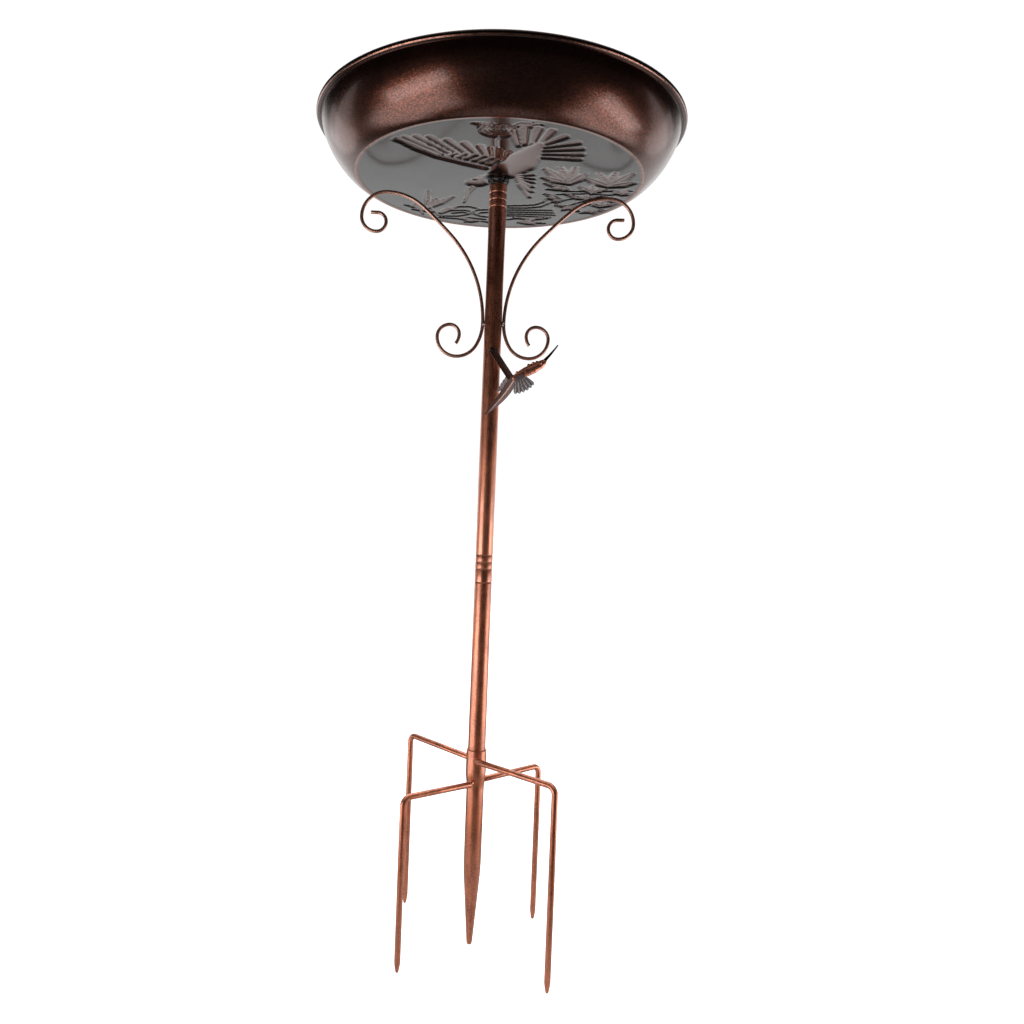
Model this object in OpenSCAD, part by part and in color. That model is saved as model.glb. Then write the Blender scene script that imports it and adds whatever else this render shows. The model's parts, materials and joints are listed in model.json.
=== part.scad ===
// Bird bath on a garden stake: a pressed sheet bowl that screws onto a two-part tube pole,
// with wire scrolls and a small bird on the upper tube, and a spike with four prongs below.
// Millimetres. +Z is up, the pole's axis is the Z axis, and Z = 0 is the plane of the
// spike's and the prongs' tips. -Y is the front, where the bird hangs.

/* [Bowl] */
// Outside diameter over the rolled rim
bowl_d = 330; // [260:1:420]
// Height of the rolled rim's centre above the foot crease
bowl_depth = 45.2; // [30:0.1:70]
// Diameter of the foot crease around the flat floor
foot_d = 259; // [180:1:300]
// Thickness of the bowl's sheet
sheet_t = 1; // [0.8:0.1:2]
// Diameter of the rolled rim
rim_d = 5.1; // [4:0.1:8]
// How far the flat floor is set up from the foot crease
floor_set = 0.8; // [0.3:0.1:2]
// Width of the sloping band between the crease and the flat floor
crease_w = 2.5; // [1.5:0.1:5]
// How full the wall's curve is outwards: 1 is an ellipse, more is leaner
wall_lean = 1.42; // [1:0.01:1.6]
// How full the wall's curve is downwards: 1 is an ellipse, more is rounder
wall_drop = 1.25; // [1:0.01:1.6]

/* [Pole tubes] */
// Outside diameter of both pole tubes and of the spike
tube_d = 16; // [15:0.1:25]
// Wall of the tubes
tube_wall = 1.2; // [0.9:0.1:1.5]
// Length of the upper tube
upper_len = 361; // [300:1:500]
// Length of the lower tube, from its seat in the socket to the joint
lower_len = 178; // [120:1:400]
// Chamfer on the lower tube's top edge
top_chamfer = 0.9; // [0.2:0.1:1]
// Chamfer on the upper tube's ends
end_chamfer = 0.4; // [0.1:0.1:0.8]
// Gap between two faces that screw up against each other
face_gap = 0.1; // [0.05:0.05:0.3]

/* [Screw joints] */
// Outside diameter of the threaded studs
stud_d = 10; // [6:0.5:10.5]
// Length of stud that screws into an insert
stud_reach = 15; // [10:0.5:20]
// Radial running clearance between a stud and its insert
stud_clear = 0.05; // [0.02:0.01:0.1]
// Length of the crimped threaded inserts
insert_len = 28; // [24:0.5:40]
// Distance from the upper tube's lower end to its nearest crimp
low_crimp_start = 12; // [3:0.1:14]
// Distance from the upper tube's top end to its nearest crimp
top_crimp_start = 7.5; // [3:0.1:14]
// Distance between crimps
crimp_pitch = 6.4; // [4:0.1:7]
// Width of a crimp
crimp_w = 1.8; // [1:0.1:3]
// Depth of a crimp
crimp_depth = 0.5; // [0.2:0.05:0.6]
// Radial clearance between an insert and its tube
insert_clear = 0.05; // [0.02:0.01:0.1]
// Length of the plug that holds the lower stud
plug_len = 16; // [10:0.5:30]
// Height of the weld ring round the bowl's stud
ring_h = 4.3; // [2:0.1:8]
// Diameter of that weld ring where it meets the bowl
ring_d = 18.6; // [14:0.1:30]

/* [Spike and socket] */
// Length of the spike's tapered end
taper_len = 70.7; // [40:0.1:100]
// Diameter of the spike's tip
tip_d = 5; // [3:0.1:8]
// Height of the lower tube's seat in the socket
seat_z = 158; // [140:1:260]
// Depth of the socket
socket_depth = 23.4; // [15:0.1:60]
// Length of the flare below the socket's seat
flare_len = 10; // [5:0.5:20]
// Radial running clearance between the lower tube and the socket
socket_clear = 0.06; // [0.02:0.01:0.1]

/* [Prongs] */
// Diameter of the prong rods
prong_d = 5.5; // [4:0.1:8]
// Drop from the socket's mouth to the upper pair of arms
upper_arm_drop = 10.1; // [6:0.1:20]
// Drop from the upper pair of arms to the lower pair
lower_arm_drop = 19.5; // [12:0.1:40]
// Distance of the upper pair's legs from the pole's axis
upper_reach = 98; // [60:1:160]
// Distance of the lower pair's legs from the pole's axis
lower_reach = 80.6; // [60:0.1:160]
// Direction of the upper pair's front leg
upper_dir = -47; // [-60:1:-30]
// Direction of the lower pair's front leg
lower_dir = -139.7; // [-150:0.1:-120]
// How much higher the upper pair's front arm sits than its back arm
front_lift = 2.5; // [0:0.1:4]
// Direction in which the upper front arm's end lies against the socket
upper_weld_dir = -95; // [-110:1:-70]
// Direction in which the lower front arm's end lies against the flare
lower_weld_dir = -113; // [-125:1:-90]
// Bend radius of a prong, at the rod's centre
prong_bend = 7; // [5:0.5:15]
// Length of a prong's pointed tip
prong_tip_len = 11; // [5:0.5:25]
// Diameter of the blunt end of a prong's tip
prong_tip_d = 2; // [1:0.1:3]

/* [Scrolls] */
// Diameter of the scroll wire
wire_d = 3.2; // [2:0.1:5]
// Drop from the upper tube's top end to the scroll welds
scroll_down = 125.1; // [110:0.1:160]
// Radial clearance between a scroll's wire and the tube
wire_gap = 0.05; // [0.02:0.01:0.2]

/* [Bird] */
// Distance of the bird's middle plane in front of the tube's surface
bird_front = 13; // [12:0.5:20]
// Height of the bird's waist below the scroll welds
bird_drop = 51.5; // [40:0.5:70]
// Distance of the bird's waist to the right of the tube's surface
bird_side = 12.5; // [10:0.5:30]
// Width of the strap that holds the bird
strap_w = 6.2; // [4:0.1:10]
// Thickness of the strap
strap_t = 1.6; // [1:0.1:3]
// Thickness of the bird's wings and tail
feather_t = 1; // [0.8:0.1:2]

/* [Hidden] */

$fn = 64;

// Heights, worked up from the tips
socket_top = seat_z + socket_depth;
joint_z = seat_z + lower_len;
upper_z = joint_z + face_gap;
tube_top = upper_z + upper_len;
foot_z = tube_top + face_gap + ring_h - floor_set;
rim_z = foot_z + bowl_depth;
scroll_z = tube_top - scroll_down;
upper_arm_z = socket_top - upper_arm_drop;
lower_arm_z = upper_arm_z - lower_arm_drop;

// Radii
tube_r = tube_d / 2;
bore_r = tube_r - tube_wall;
stud_r = stud_d / 2;
rim_r = rim_d / 2;
wall_r = bowl_d / 2 - rim_d + sheet_t;
foot_r = foot_d / 2;
socket_in = tube_r + socket_clear;
socket_r = socket_in + tube_wall;
prong_r = prong_d / 2;
wire_r = wire_d / 2;

crimps = 3;
wall_steps = 22;
prong_gap = 0.05;
eps = 0.01;

function at(r, a) = [r * cos(a), r * sin(a)];

// ---------------------------------------------------------------- bowl

// A point on the outside of the wall: 0 is under the rim and 90 is at the foot crease
function wall_point(t) = [
    foot_r + (wall_r - foot_r) * pow(cos(t), wall_lean),
    rim_z - bowl_depth * pow(sin(t), wall_drop)
];

// The same point moved in by the sheet's thickness, square to the wall
function wall_inside(t) =
    let (a = wall_point(max(t - 1, 0)), b = wall_point(min(t + 1, 90)), d = (b - a) / norm(b - a))
    wall_point(t) + sheet_t * [d[1], -d[0]];

// The pressed pan in section: floor, foot crease, curved wall and rolled rim
module bowl_pan() {
    floor_z = foot_z + floor_set;
    last = 86;
    outside = [for (i = [0 : wall_steps]) wall_point(last * i / wall_steps)];
    inside = [for (i = [wall_steps : -1 : 0]) wall_inside(last * i / wall_steps)];
    color([0.25, 0.14, 0.10]) {
        rotate_extrude() polygon(concat(
            outside,
            [[foot_r, foot_z], [foot_r - crease_w, floor_z], [0, floor_z]],
            [[0, floor_z + sheet_t], [foot_r - crease_w, floor_z + sheet_t]],
            inside
        ));
        translate([0, 0, rim_z]) rotate_extrude() translate([bowl_d / 2 - rim_r, 0]) circle(rim_r);
    }
}

// The stud stands down from the floor and is buried in its weld ring
module bowl_stud() {
    color("silver") translate([0, 0, tube_top - stud_reach])
        stud(foot_z + floor_set - tube_top + stud_reach);
}

// A stud with its free end chamfered, which points down
module stud(len) {
    lead = stud_d / 8;
    rotate_extrude() polygon([
        [0, 0], [stud_r - lead, 0], [stud_r, lead], [stud_r, len], [0, len]
    ]);
}

// The weld ring that joins the stud to the bowl
module stud_weld() {
    color([0.07, 0.06, 0.06]) translate([0, 0, tube_top + face_gap]) rotate_extrude() polygon([
        [stud_r, 0], [tube_r + 0.1, 0], [tube_r + 0.5, ring_h * 0.5],
        [ring_d / 2, ring_h], [stud_r, ring_h]
    ]);
}

// ---------------------------------------------------------------- tubes, studs and inserts

// Where the crimps sit, measured up from the bottom of a crimped end
function crimp_z(start, from, sign) = [for (i = [0 : crimps - 1]) from + sign * (start + i * crimp_pitch)];

low_crimps = crimp_z(low_crimp_start, upper_z, 1);
top_crimps = [for (i = [crimps - 1 : -1 : 0]) crimp_z(top_crimp_start, tube_top, -1)[i]];

// One side of a crimped wall, from bottom to top: a straight line with a dent at each crimp
function dented(r, zs, extra = 0) = [
    for (z = zs) each [
        [r, z - crimp_w / 2 - extra],
        [r - crimp_depth * 0.8, z - crimp_w / 5],
        [r - crimp_depth * 0.8, z + crimp_w / 5],
        [r, z + crimp_w / 2 + extra]
    ]
];

function reversed(list) = [for (i = [len(list) - 1 : -1 : 0]) list[i]];

module upper_tube() {
    zs = concat(low_crimps, top_crimps);
    color([0.45, 0.24, 0.15]) rotate_extrude() polygon(concat(
        [[bore_r, upper_z], [tube_r - end_chamfer, upper_z], [tube_r, upper_z + end_chamfer]],
        dented(tube_r, zs),
        [[tube_r, tube_top - end_chamfer], [tube_r - end_chamfer, tube_top], [bore_r, tube_top]],
        reversed(dented(bore_r, zs))
    ));
}

// A threaded insert, held by the crimps that bite into it
module insert(from, zs) {
    r = bore_r - insert_clear;
    color([0.62, 0.62, 0.60]) rotate_extrude() polygon(concat(
        [[stud_r + stud_clear, from], [r, from]],
        dented(r, zs, insert_clear),
        [[r, from + insert_len], [stud_r + stud_clear, from + insert_len]]
    ));
}

module joint_insert() insert(upper_z + face_gap, low_crimps);

module bowl_insert() insert(tube_top - face_gap - insert_len, top_crimps);

module lower_tube() {
    color([0.62, 0.34, 0.22]) rotate_extrude() polygon([
        [bore_r, seat_z], [tube_r - end_chamfer, seat_z], [tube_r, seat_z + end_chamfer],
        [tube_r, joint_z - top_chamfer], [tube_r - top_chamfer * 0.6, joint_z], [bore_r, joint_z]
    ]);
}

// The plug closes the lower tube's top end and holds the stud
module joint_plug() {
    color([0.62, 0.62, 0.60]) translate([0, 0, joint_z - plug_len]) difference() {
        cylinder(r = bore_r, h = plug_len);
        translate([0, 0, -eps]) cylinder(r = stud_r, h = plug_len + 2 * eps);
    }
}

module joint_stud() {
    length = plug_len + stud_reach;
    color("silver") translate([0, 0, joint_z - plug_len + length]) mirror([0, 0, 1]) stud(length);
}

// ---------------------------------------------------------------- spike and prongs

// One tube: swaged to a point below and opened out into a socket above
module spike_tube() {
    tip_wall = 7;
    lip = 0.5;
    color([0.60, 0.32, 0.20]) rotate_extrude() polygon([
        [0, 0], [tip_d / 2 - 0.6, 0], [tip_d / 2, 1.2],
        [tube_r, taper_len], [tube_r, flare_start],
        [socket_r, flare_end], [socket_r, socket_top - lip], [socket_r - lip / 2, socket_top],
        [socket_in + lip / 2, socket_top], [socket_in, socket_top - lip],
        [socket_in, seat_z], [bore_r, seat_z - 0.5], [bore_r, taper_len],
        [tip_d / 5, tip_wall], [0, tip_wall]
    ]);
}

// The flare's ends, and its outside radius at a height
flare_start = seat_z - flare_len;
flare_end = seat_z + 1;

function flare_r(z) =
    tube_r + (socket_r - tube_r) * min(1, max(0, (z - flare_start) / (flare_end - flare_start)));

// A rod from the tube's side to its leg: a level arm, a bend, a leg and a point
module prong(start, reach, dir, z) {
    corner = at(reach, dir);
    run = corner - start;
    arm = norm(run) - prong_bend;
    leg = z - prong_bend - prong_tip_len;
    color([0.58, 0.31, 0.20]) translate([start[0], start[1], z]) rotate([0, 0, atan2(run[1], run[0])]) {
        rotate([0, 90, 0]) cylinder(r = prong_r, h = arm);
        translate([arm, 0, -prong_bend]) rotate([90, 0, 0])
            rotate_extrude(angle = 90) translate([prong_bend, 0]) circle(prong_r);
        translate([arm + prong_bend, 0, -prong_bend - leg]) cylinder(r = prong_r, h = leg);
        translate([arm + prong_bend, 0, -z])
            cylinder(r1 = prong_tip_d / 2, r2 = prong_r, h = prong_tip_len);
    }
}

// A front arm's end lies against the tube's side, and a back arm's end butts on it
upper_side = socket_r + prong_gap;
lower_side = flare_r(lower_arm_z + prong_r) + prong_gap;
upper_front = at(upper_side + prong_r, upper_weld_dir);
upper_back = at(upper_side, upper_dir + 180);
lower_front = at(lower_side + prong_r, lower_weld_dir);
lower_back = at(lower_side, lower_dir + 180);

module prong_front_right() prong(upper_front, upper_reach, upper_dir, upper_arm_z + front_lift);

module prong_back_left() prong(upper_back, upper_reach, upper_dir + 180, upper_arm_z);

module prong_front_left() prong(lower_front, lower_reach, lower_dir, lower_arm_z);

module prong_back_right() prong(lower_back, lower_reach, lower_dir + 180, lower_arm_z);

// A bead of weld between a rod's end and the tube
module prong_weld(start, z) {
    p = start * (1 - 0.6 * prong_r / norm(start));
    translate([p[0], p[1], z]) sphere(prong_r * 1.05);
}

module prong_welds() {
    color([0.50, 0.27, 0.18]) difference() {
        union() {
            prong_weld(upper_front, upper_arm_z + front_lift);
            prong_weld(upper_back, upper_arm_z);
            prong_weld(lower_front, lower_arm_z);
            prong_weld(lower_back, lower_arm_z);
        }
        translate([0, 0, flare_end]) cylinder(r = socket_r + eps, h = socket_depth);
        translate([0, 0, flare_start]) cylinder(r1 = tube_r + eps, r2 = socket_r + eps, h = flare_end - flare_start);
        cylinder(r = tube_r + eps, h = flare_start);
        prong_front_right();
        prong_back_left();
        prong_front_left();
        prong_back_right();
    }
}

// ---------------------------------------------------------------- scrolls

// Each scroll is one wire, bent as two runs of arcs that leave the weld, one up and one down.
// An arc is [radius, turn in degrees], and a radius of 0 means a straight of the second value.
upper_arcs = [[115, 44], [400, 5], [52, 41], [22.5, 90], [13.6, 90], [9, 90], [8.2, 90], [0, 6]];
lower_arcs = [[40, 30], [21, 60], [17.5, 90], [11.3, 90], [8.8, 90], [13, 40]];

// Where an arc has got to after t of its turn: [x, z, heading], turning left if side is 1
function along_arc(from, arc, side, t) =
    let (h = from[2], r = arc[0])
    r == 0 ? [from[0] + t * cos(h), from[1] + t * sin(h), h]
    : [
        from[0] + side * r * (sin(h + side * t) - sin(h)),
        from[1] + side * r * (cos(h) - cos(h + side * t)),
        h + side * t
    ];

// How many straight steps stand for an arc
function arc_steps(arc) = arc[0] == 0 ? 1 : ceil(max(arc[1] / 10, arc[0] * arc[1] * PI / 180 / 7));

// Every step along a run of arcs, without its starting point
function run_points(from, arcs, side, i = 0) =
    i == len(arcs) ? []
    : let (n = arc_steps(arcs[i]), steps = [for (k = [1 : n]) along_arc(from, arcs[i], side, arcs[i][1] * k / n)])
        concat(steps, run_points(steps[n - 1], arcs, side, i + 1));

// The whole wire, from the lower curl's end past the weld to the upper curl's end
scroll_x = tube_r + wire_gap + wire_r;
scroll_path = concat(
    [for (p = reversed(run_points([scroll_x, scroll_z, -90], lower_arcs, 1))) p + [0, 0, 180]],
    [[scroll_x, scroll_z, 90]],
    run_points([scroll_x, scroll_z, 90], upper_arcs, -1)
);

// A round wire swept along a path that lies in the X-Z plane
module swept_wire(path, sides = 10) {
    last = len(path) - 1;
    rings = [
        for (p = path, k = [0 : sides - 1])
            let (a = 360 * k / sides)
            [p[0] - wire_r * cos(a) * sin(p[2]), wire_r * sin(a), p[1] + wire_r * cos(a) * cos(p[2])]
    ];
    walls = [
        for (i = [0 : last - 1], k = [0 : sides - 1])
            let (n = (k + 1) % sides, a = i * sides)
            [a + k, a + n, a + sides + n, a + sides + k]
    ];
    polyhedron(rings, concat(
        walls,
        [[for (k = [sides - 1 : -1 : 0]) k]],
        [[for (k = [0 : sides - 1]) last * sides + k]]
    ));
}

module scroll_right() color([0.50, 0.28, 0.17]) swept_wire(scroll_path);

module scroll_left() color([0.50, 0.28, 0.17]) mirror([1, 0, 0]) swept_wire(scroll_path);

// Weld beads in the two corners where each wire touches the tube
module scroll_welds() {
    bead = wire_r * 1.05;
    color([0.62, 0.36, 0.22]) difference() {
        for (sx = [-1, 1], sy = [-1, 1])
            translate([sx * (tube_r + wire_r * 0.35), sy * wire_r * 1.15, scroll_z]) sphere(bead);
        cylinder(r = tube_r, h = tube_top);
        for (sx = [-1, 1]) translate([sx * scroll_x, 0, 0]) cylinder(r = wire_r, h = tube_top);
    }
}

// ---------------------------------------------------------------- bird

waist = [tube_r + bird_side, -tube_r - bird_front, scroll_z - bird_drop];

// A ball of the bird's body, placed from its waist
module ball(x, z, r) translate(waist + [x, 0, z]) sphere(r, $fn = 24);

module bird_body() {
    color([0.55, 0.26, 0.15]) {
        hull() { ball(0, 0, 2.6); ball(9.5, 5.5, 4.3); ball(17, 9, 4.7); }
        hull() { ball(17, 9, 4.5); ball(23.5, 13, 3.9); }
        hull() { ball(23.5, 13, 3.7); ball(26.8, 16.2, 1.8); }
    }
}

module bird_beak() {
    color([0.12, 0.10, 0.10]) translate(waist + [26.5, 0, 16]) rotate([0, 38, 0])
        cylinder(r1 = 1.3, r2 = 0.4, h = 18.5);
}

// A flat sheet piece, drawn in X and Y and raised by the feather thickness
module feather_sheet(outline) {
    translate([0, 0, -feather_t / 2]) linear_extrude(feather_t) polygon(outline);
}

// The long tail hangs down to the left of the waist
module bird_tail() {
    outline = [
        [-3, -1.5], [-3, 1.5], [6, 3.3], [15, 3.6], [25, 3], [36, 1.6], [42, 0.5],
        [42, -0.5], [36, -1.6], [25, -3], [15, -3.6], [6, -3.3]
    ];
    color([0.33, 0.24, 0.19]) translate(waist) rotate([90, 127, 0]) feather_sheet(outline);
}

// A wing's outline: X runs along the body, from the root's back to its front, and Y runs out
wing_outline = [
    [0, 0], [13, 0], [17.5, 8], [18, 15], [16.5, 20], [13, 24],
    [8.5, 26.5], [5, 26], [2, 23], [0, 15], [-0.5, 8]
];

// A wing whose root lies on the body: out is its direction away from the body
module wing(root, along, out) {
    normal = cross(along, out);
    multmatrix([
        [along[0], out[0], normal[0], root[0]],
        [along[1], out[1], normal[1], root[1]],
        [along[2], out[2], normal[2], root[2]],
        [0, 0, 0, 1]
    ]) feather_sheet(wing_outline);
}

// The unit vector square to a that is nearest to b
function square_to(a, b) = let (v = b - a * (a * b)) v / norm(v);

body_line = [cos(27), 0, sin(27)];

module bird_wing_right() {
    color([0.42, 0.42, 0.42]) wing(waist + [0.5, -2.6, 0], body_line, square_to(body_line, [0.33, -0.85, -0.42]));
}

module bird_wing_left() {
    tail_line = [cos(60), 0.12, sin(60)] / norm([cos(60), 0.12, sin(60)]);
    color([0.42, 0.42, 0.42]) wing(waist + [-1, 2.6, -2], tail_line, square_to(tail_line, [-0.2, 0.95, 0.05]));
}

// The strap slants from the front of the tube down to the bird's back
strap_top = [1, -tube_r - strap_t / 2 - 0.35, scroll_z - 26];
strap_end = waist + [-1.5, 3.6, -1.5];

module bird_strap() {
    v = strap_top - strap_end;
    color([0.10, 0.09, 0.09]) translate(strap_end)
        rotate([0, atan2(v[0], v[2]), 0]) rotate([-asin(v[1] / norm(v)), 0, 0])
            translate([-strap_w / 2, -strap_t / 2, 0]) cube([strap_w, strap_t, norm(v)]);
}

// The strap's welds, one on the tube and one on the bird
module strap_welds() {
    color([0.09, 0.08, 0.08]) {
        difference() {
            translate(strap_top + [-strap_w / 2, 0.2, 0.6]) rotate([0, 90, 0]) cylinder(r = 1.7, h = strap_w);
            cylinder(r = tube_r, h = tube_top);
        }
        translate(strap_end + [1.2, -1.6, 1]) sphere(2.2);
    }
}

bowl_pan();
bowl_stud();
stud_weld();
bowl_insert();
upper_tube();
scroll_left();
scroll_right();
scroll_welds();
bird_strap();
strap_welds();
bird_body();
bird_beak();
bird_tail();
bird_wing_left();
bird_wing_right();
joint_insert();
lower_tube();
joint_plug();
joint_stud();
spike_tube();
prong_front_right();
prong_back_left();
prong_front_left();
prong_back_right();
prong_welds();
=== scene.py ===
"""Looks for a bird bath on a garden stake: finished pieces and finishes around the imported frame."""
import json
import math

import bmesh
import bpy
import numpy as np
from mathutils import Matrix, Vector
from mathutils.kdtree import KDTree


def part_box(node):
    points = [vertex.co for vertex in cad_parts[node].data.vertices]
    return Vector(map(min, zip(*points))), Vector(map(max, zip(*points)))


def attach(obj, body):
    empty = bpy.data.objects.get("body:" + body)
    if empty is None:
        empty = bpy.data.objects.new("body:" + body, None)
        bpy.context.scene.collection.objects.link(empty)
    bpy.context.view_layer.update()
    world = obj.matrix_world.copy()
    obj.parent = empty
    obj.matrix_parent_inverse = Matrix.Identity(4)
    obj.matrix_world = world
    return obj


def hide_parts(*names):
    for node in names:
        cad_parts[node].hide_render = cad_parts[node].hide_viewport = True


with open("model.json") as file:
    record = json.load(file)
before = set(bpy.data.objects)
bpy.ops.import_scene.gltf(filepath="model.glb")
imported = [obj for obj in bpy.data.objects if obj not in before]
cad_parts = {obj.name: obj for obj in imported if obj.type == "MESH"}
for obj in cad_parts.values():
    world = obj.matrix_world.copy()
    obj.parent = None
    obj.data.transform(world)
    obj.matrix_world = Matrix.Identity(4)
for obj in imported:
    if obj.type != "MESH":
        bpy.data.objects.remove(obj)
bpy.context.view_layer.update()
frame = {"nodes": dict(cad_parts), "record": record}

MM = 0.001

# ---------------------------------------------------------------- sizes from the frame
TUBE_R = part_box("lower_tube")[1].x
TUBE_WALL = 1.2 * MM
BORE_R = TUBE_R - TUBE_WALL
LOWER_Z0, LOWER_Z1 = (corner.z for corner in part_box("lower_tube"))
UPPER_Z0, UPPER_Z1 = (corner.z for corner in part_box("upper_tube"))
SOCKET_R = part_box("spike_tube")[1].x
SOCKET_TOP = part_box("spike_tube")[1].z
SOCKET_IN = TUBE_R + 0.06 * MM
CRIMP_PITCH = 6.4 * MM
CRIMPS = 3
LOW_CRIMP_START = 12 * MM
TOP_CRIMP_START = 7.5 * MM

BOWL_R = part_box("bowl_pan")[1].x
FOOT_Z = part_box("bowl_pan")[0].z
RIM_R = 2.55 * MM
RIM_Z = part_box("bowl_pan")[1].z - RIM_R
BOWL_DEPTH = RIM_Z - FOOT_Z
SHEET_T = 1 * MM
WALL_R = BOWL_R - 2 * RIM_R + SHEET_T
FOOT_R = 129.5 * MM
CREASE_W = 2.5 * MM
FLOOR_Z = FOOT_Z + 0.8 * MM
RING_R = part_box("stud_weld")[1].x

STUD_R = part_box("bowl_stud")[1].x
THREAD_PITCH = 1.5 * MM

WIRE_R = 1.6 * MM
SCROLL_X = TUBE_R + 0.05 * MM + WIRE_R
SCROLL_Z = UPPER_Z1 - 125.1 * MM
PRONG_R = 2.75 * MM

WAIST = Vector((TUBE_R + 12.5 * MM, -TUBE_R - 13 * MM, SCROLL_Z - 51.5 * MM))


# ---------------------------------------------------------------- mesh helpers
def piece(name, verts, faces):
    """A mesh object at the origin, with its doubles merged and its faces outwards."""
    mesh = bpy.data.meshes.new(name)
    mesh.from_pydata([tuple(v) for v in verts], [], faces)
    shell = bmesh.new()
    shell.from_mesh(mesh)
    bmesh.ops.remove_doubles(shell, verts=shell.verts, dist=1e-6)
    bmesh.ops.dissolve_degenerate(shell, dist=1e-7, edges=shell.edges)
    bmesh.ops.recalc_face_normals(shell, faces=shell.faces)
    shell.to_mesh(mesh)
    shell.free()
    mesh.shade_smooth()
    result = bpy.data.objects.new(name, mesh)
    bpy.context.scene.collection.objects.link(result)
    return result


def sharpen(obj, degrees=40):
    """Keeps the edges that bend by more than this many degrees crisp."""
    obj.data.set_sharp_from_angle(angle=math.radians(degrees))
    return obj


def rounded(corners, steps=4):
    """The closed outline through (x, y, fillet) corners, with every corner eased by its fillet."""
    longest = 0.48  # of either side, so that two fillets never meet
    outline = []
    for i, (x, y, fillet) in enumerate(corners):
        here = Vector((x, y))
        if fillet <= 0:
            outline.append(here)
            continue
        back = Vector(corners[i - 1][:2]) - here
        on = Vector(corners[(i + 1) % len(corners)][:2]) - here
        start = here + back.normalized() * min(fillet, longest * back.length)
        end = here + on.normalized() * min(fillet, longest * on.length)
        for k in range(steps + 1):
            t = k / steps
            outline.append(start * (1 - t) ** 2 + here * 2 * t * (1 - t) + end * t * t)
    return [(p.x, p.y) for p in outline]


def ring_faces(rows, sides, first=0, closed=False):
    """The quads between rows of points that each go once round. Closed joins the last to the first."""
    faces = []
    for i in range(rows if closed else rows - 1):
        row, above = first + i * sides, first + (i + 1) % rows * sides
        for k in range(sides):
            n = (k + 1) % sides
            faces.append((row + k, row + n, above + n, above + k))
    return faces


def bar_faces(rows, sides):
    """The faces of a bar: its rows joined up, and one face over each end."""
    last = (rows - 1) * sides
    return ring_faces(rows, sides) + [tuple(range(sides))[::-1], tuple(range(last, last + sides))]


def lathe(name, outline, segments=96):
    """Spins a closed outline of (radius, height) points about the pole's axis."""
    turns = [2 * math.pi * k / segments for k in range(segments)]
    verts = [(r * math.cos(a), r * math.sin(a), z) for r, z in outline for a in turns]
    return sharpen(piece(name, verts, ring_faces(len(outline), segments, closed=True)))


def sheet_solid(name, rows, thickness):
    """A thin solid on a grid of points, half its thickness to each side of the grid."""
    grid = np.array([[tuple(p) for p in row] for row in rows])
    along = np.gradient(grid, axis=0)
    across = np.gradient(grid, axis=1)
    normal = np.cross(along, across)
    length = np.linalg.norm(normal, axis=2, keepdims=True)
    normal = normal / np.maximum(length, 1e-12)
    n, m = grid.shape[:2]
    top = (grid + normal * thickness / 2).reshape(-1, 3)
    under = (grid - normal * thickness / 2).reshape(-1, 3)
    faces = []
    for i in range(n - 1):
        for j in range(m - 1):
            a, b, c, d = i * m + j, i * m + j + 1, (i + 1) * m + j + 1, (i + 1) * m + j
            faces += [(a, d, c, b), (n * m + a, n * m + b, n * m + c, n * m + d)]
    edge = list(range(m)) + [i * m + m - 1 for i in range(1, n)]
    edge += [(n - 1) * m + j for j in range(m - 2, -1, -1)] + [i * m for i in range(n - 2, 0, -1)]
    for a, b in zip(edge, edge[1:] + edge[:1]):
        faces.append((a, b, n * m + b, n * m + a))
    return sharpen(piece(name, np.concatenate([top, under]), faces), 55)


def wander(points, size, seed):
    """Smooth bumps between -1 and 1 at every point: a few crossed waves of about this size."""
    rng = np.random.default_rng(seed)
    value = np.zeros(len(points))
    for _ in range(6):
        way = rng.normal(size=3)
        way *= 2 * math.pi / (size * np.linalg.norm(way) * rng.uniform(0.7, 1.5))
        value += np.sin(points @ way + rng.uniform(0, 2 * math.pi))
    return value / 3


def points_of(obj, what="co"):
    """The piece's vertices, or what else is named, as rows of three."""
    points = np.zeros(len(obj.data.vertices) * 3)
    obj.data.vertices.foreach_get(what, points)
    return points.reshape(-1, 3)


def move_points(obj, points):
    """Puts the piece's vertices at these points."""
    obj.data.vertices.foreach_set("co", points.ravel())
    obj.data.update()


def push(obj, amounts):
    """Moves every vertex out along its normal by its own amount."""
    move_points(obj, points_of(obj) + points_of(obj, "normal") * amounts[:, None])


def number_layer(mesh, name, values):
    """Keeps one number at every point, for a finish or a tree to read."""
    layer = mesh.attributes.new(name, "FLOAT", "POINT")
    layer.data.foreach_set("value", np.asarray(values, np.float32))


def remeshed(obj, voxel):
    """Joins a piece's overlapping lumps into one closed skin."""
    modifier = obj.modifiers.new("skin", "REMESH")
    modifier.mode = "VOXEL"
    modifier.voxel_size = voxel
    return baked(obj)


def baked(obj):
    """The piece with its modifiers applied and taken off."""
    graph = bpy.context.evaluated_depsgraph_get()
    mesh = bpy.data.meshes.new_from_object(obj.evaluated_get(graph))
    mesh.name = obj.name
    obj.modifiers.clear()
    obj.data = mesh
    mesh.shade_smooth()
    return obj


def ball(centre, radius, squash=(1, 1, 1), rings=14, sides=20):
    """The points and faces of a ball, squashed along each axis."""
    verts = []
    for i in range(rings + 1):
        for k in range(sides):
            a, b = math.pi * i / rings, 2 * math.pi * k / sides
            way = Vector((math.sin(a) * math.cos(b), math.sin(a) * math.sin(b), math.cos(a)))
            verts.append(Vector(centre) + Vector(w * s for w, s in zip(way, squash)) * radius)
    return verts, ring_faces(rings + 1, sides)


def lumps(name, shapes):
    """One object from several (points, faces) shapes."""
    verts, faces = [], []
    for points, quads in shapes:
        faces += [tuple(i + len(verts) for i in quad) for quad in quads]
        verts += list(points)
    return piece(name, verts, faces)


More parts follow.
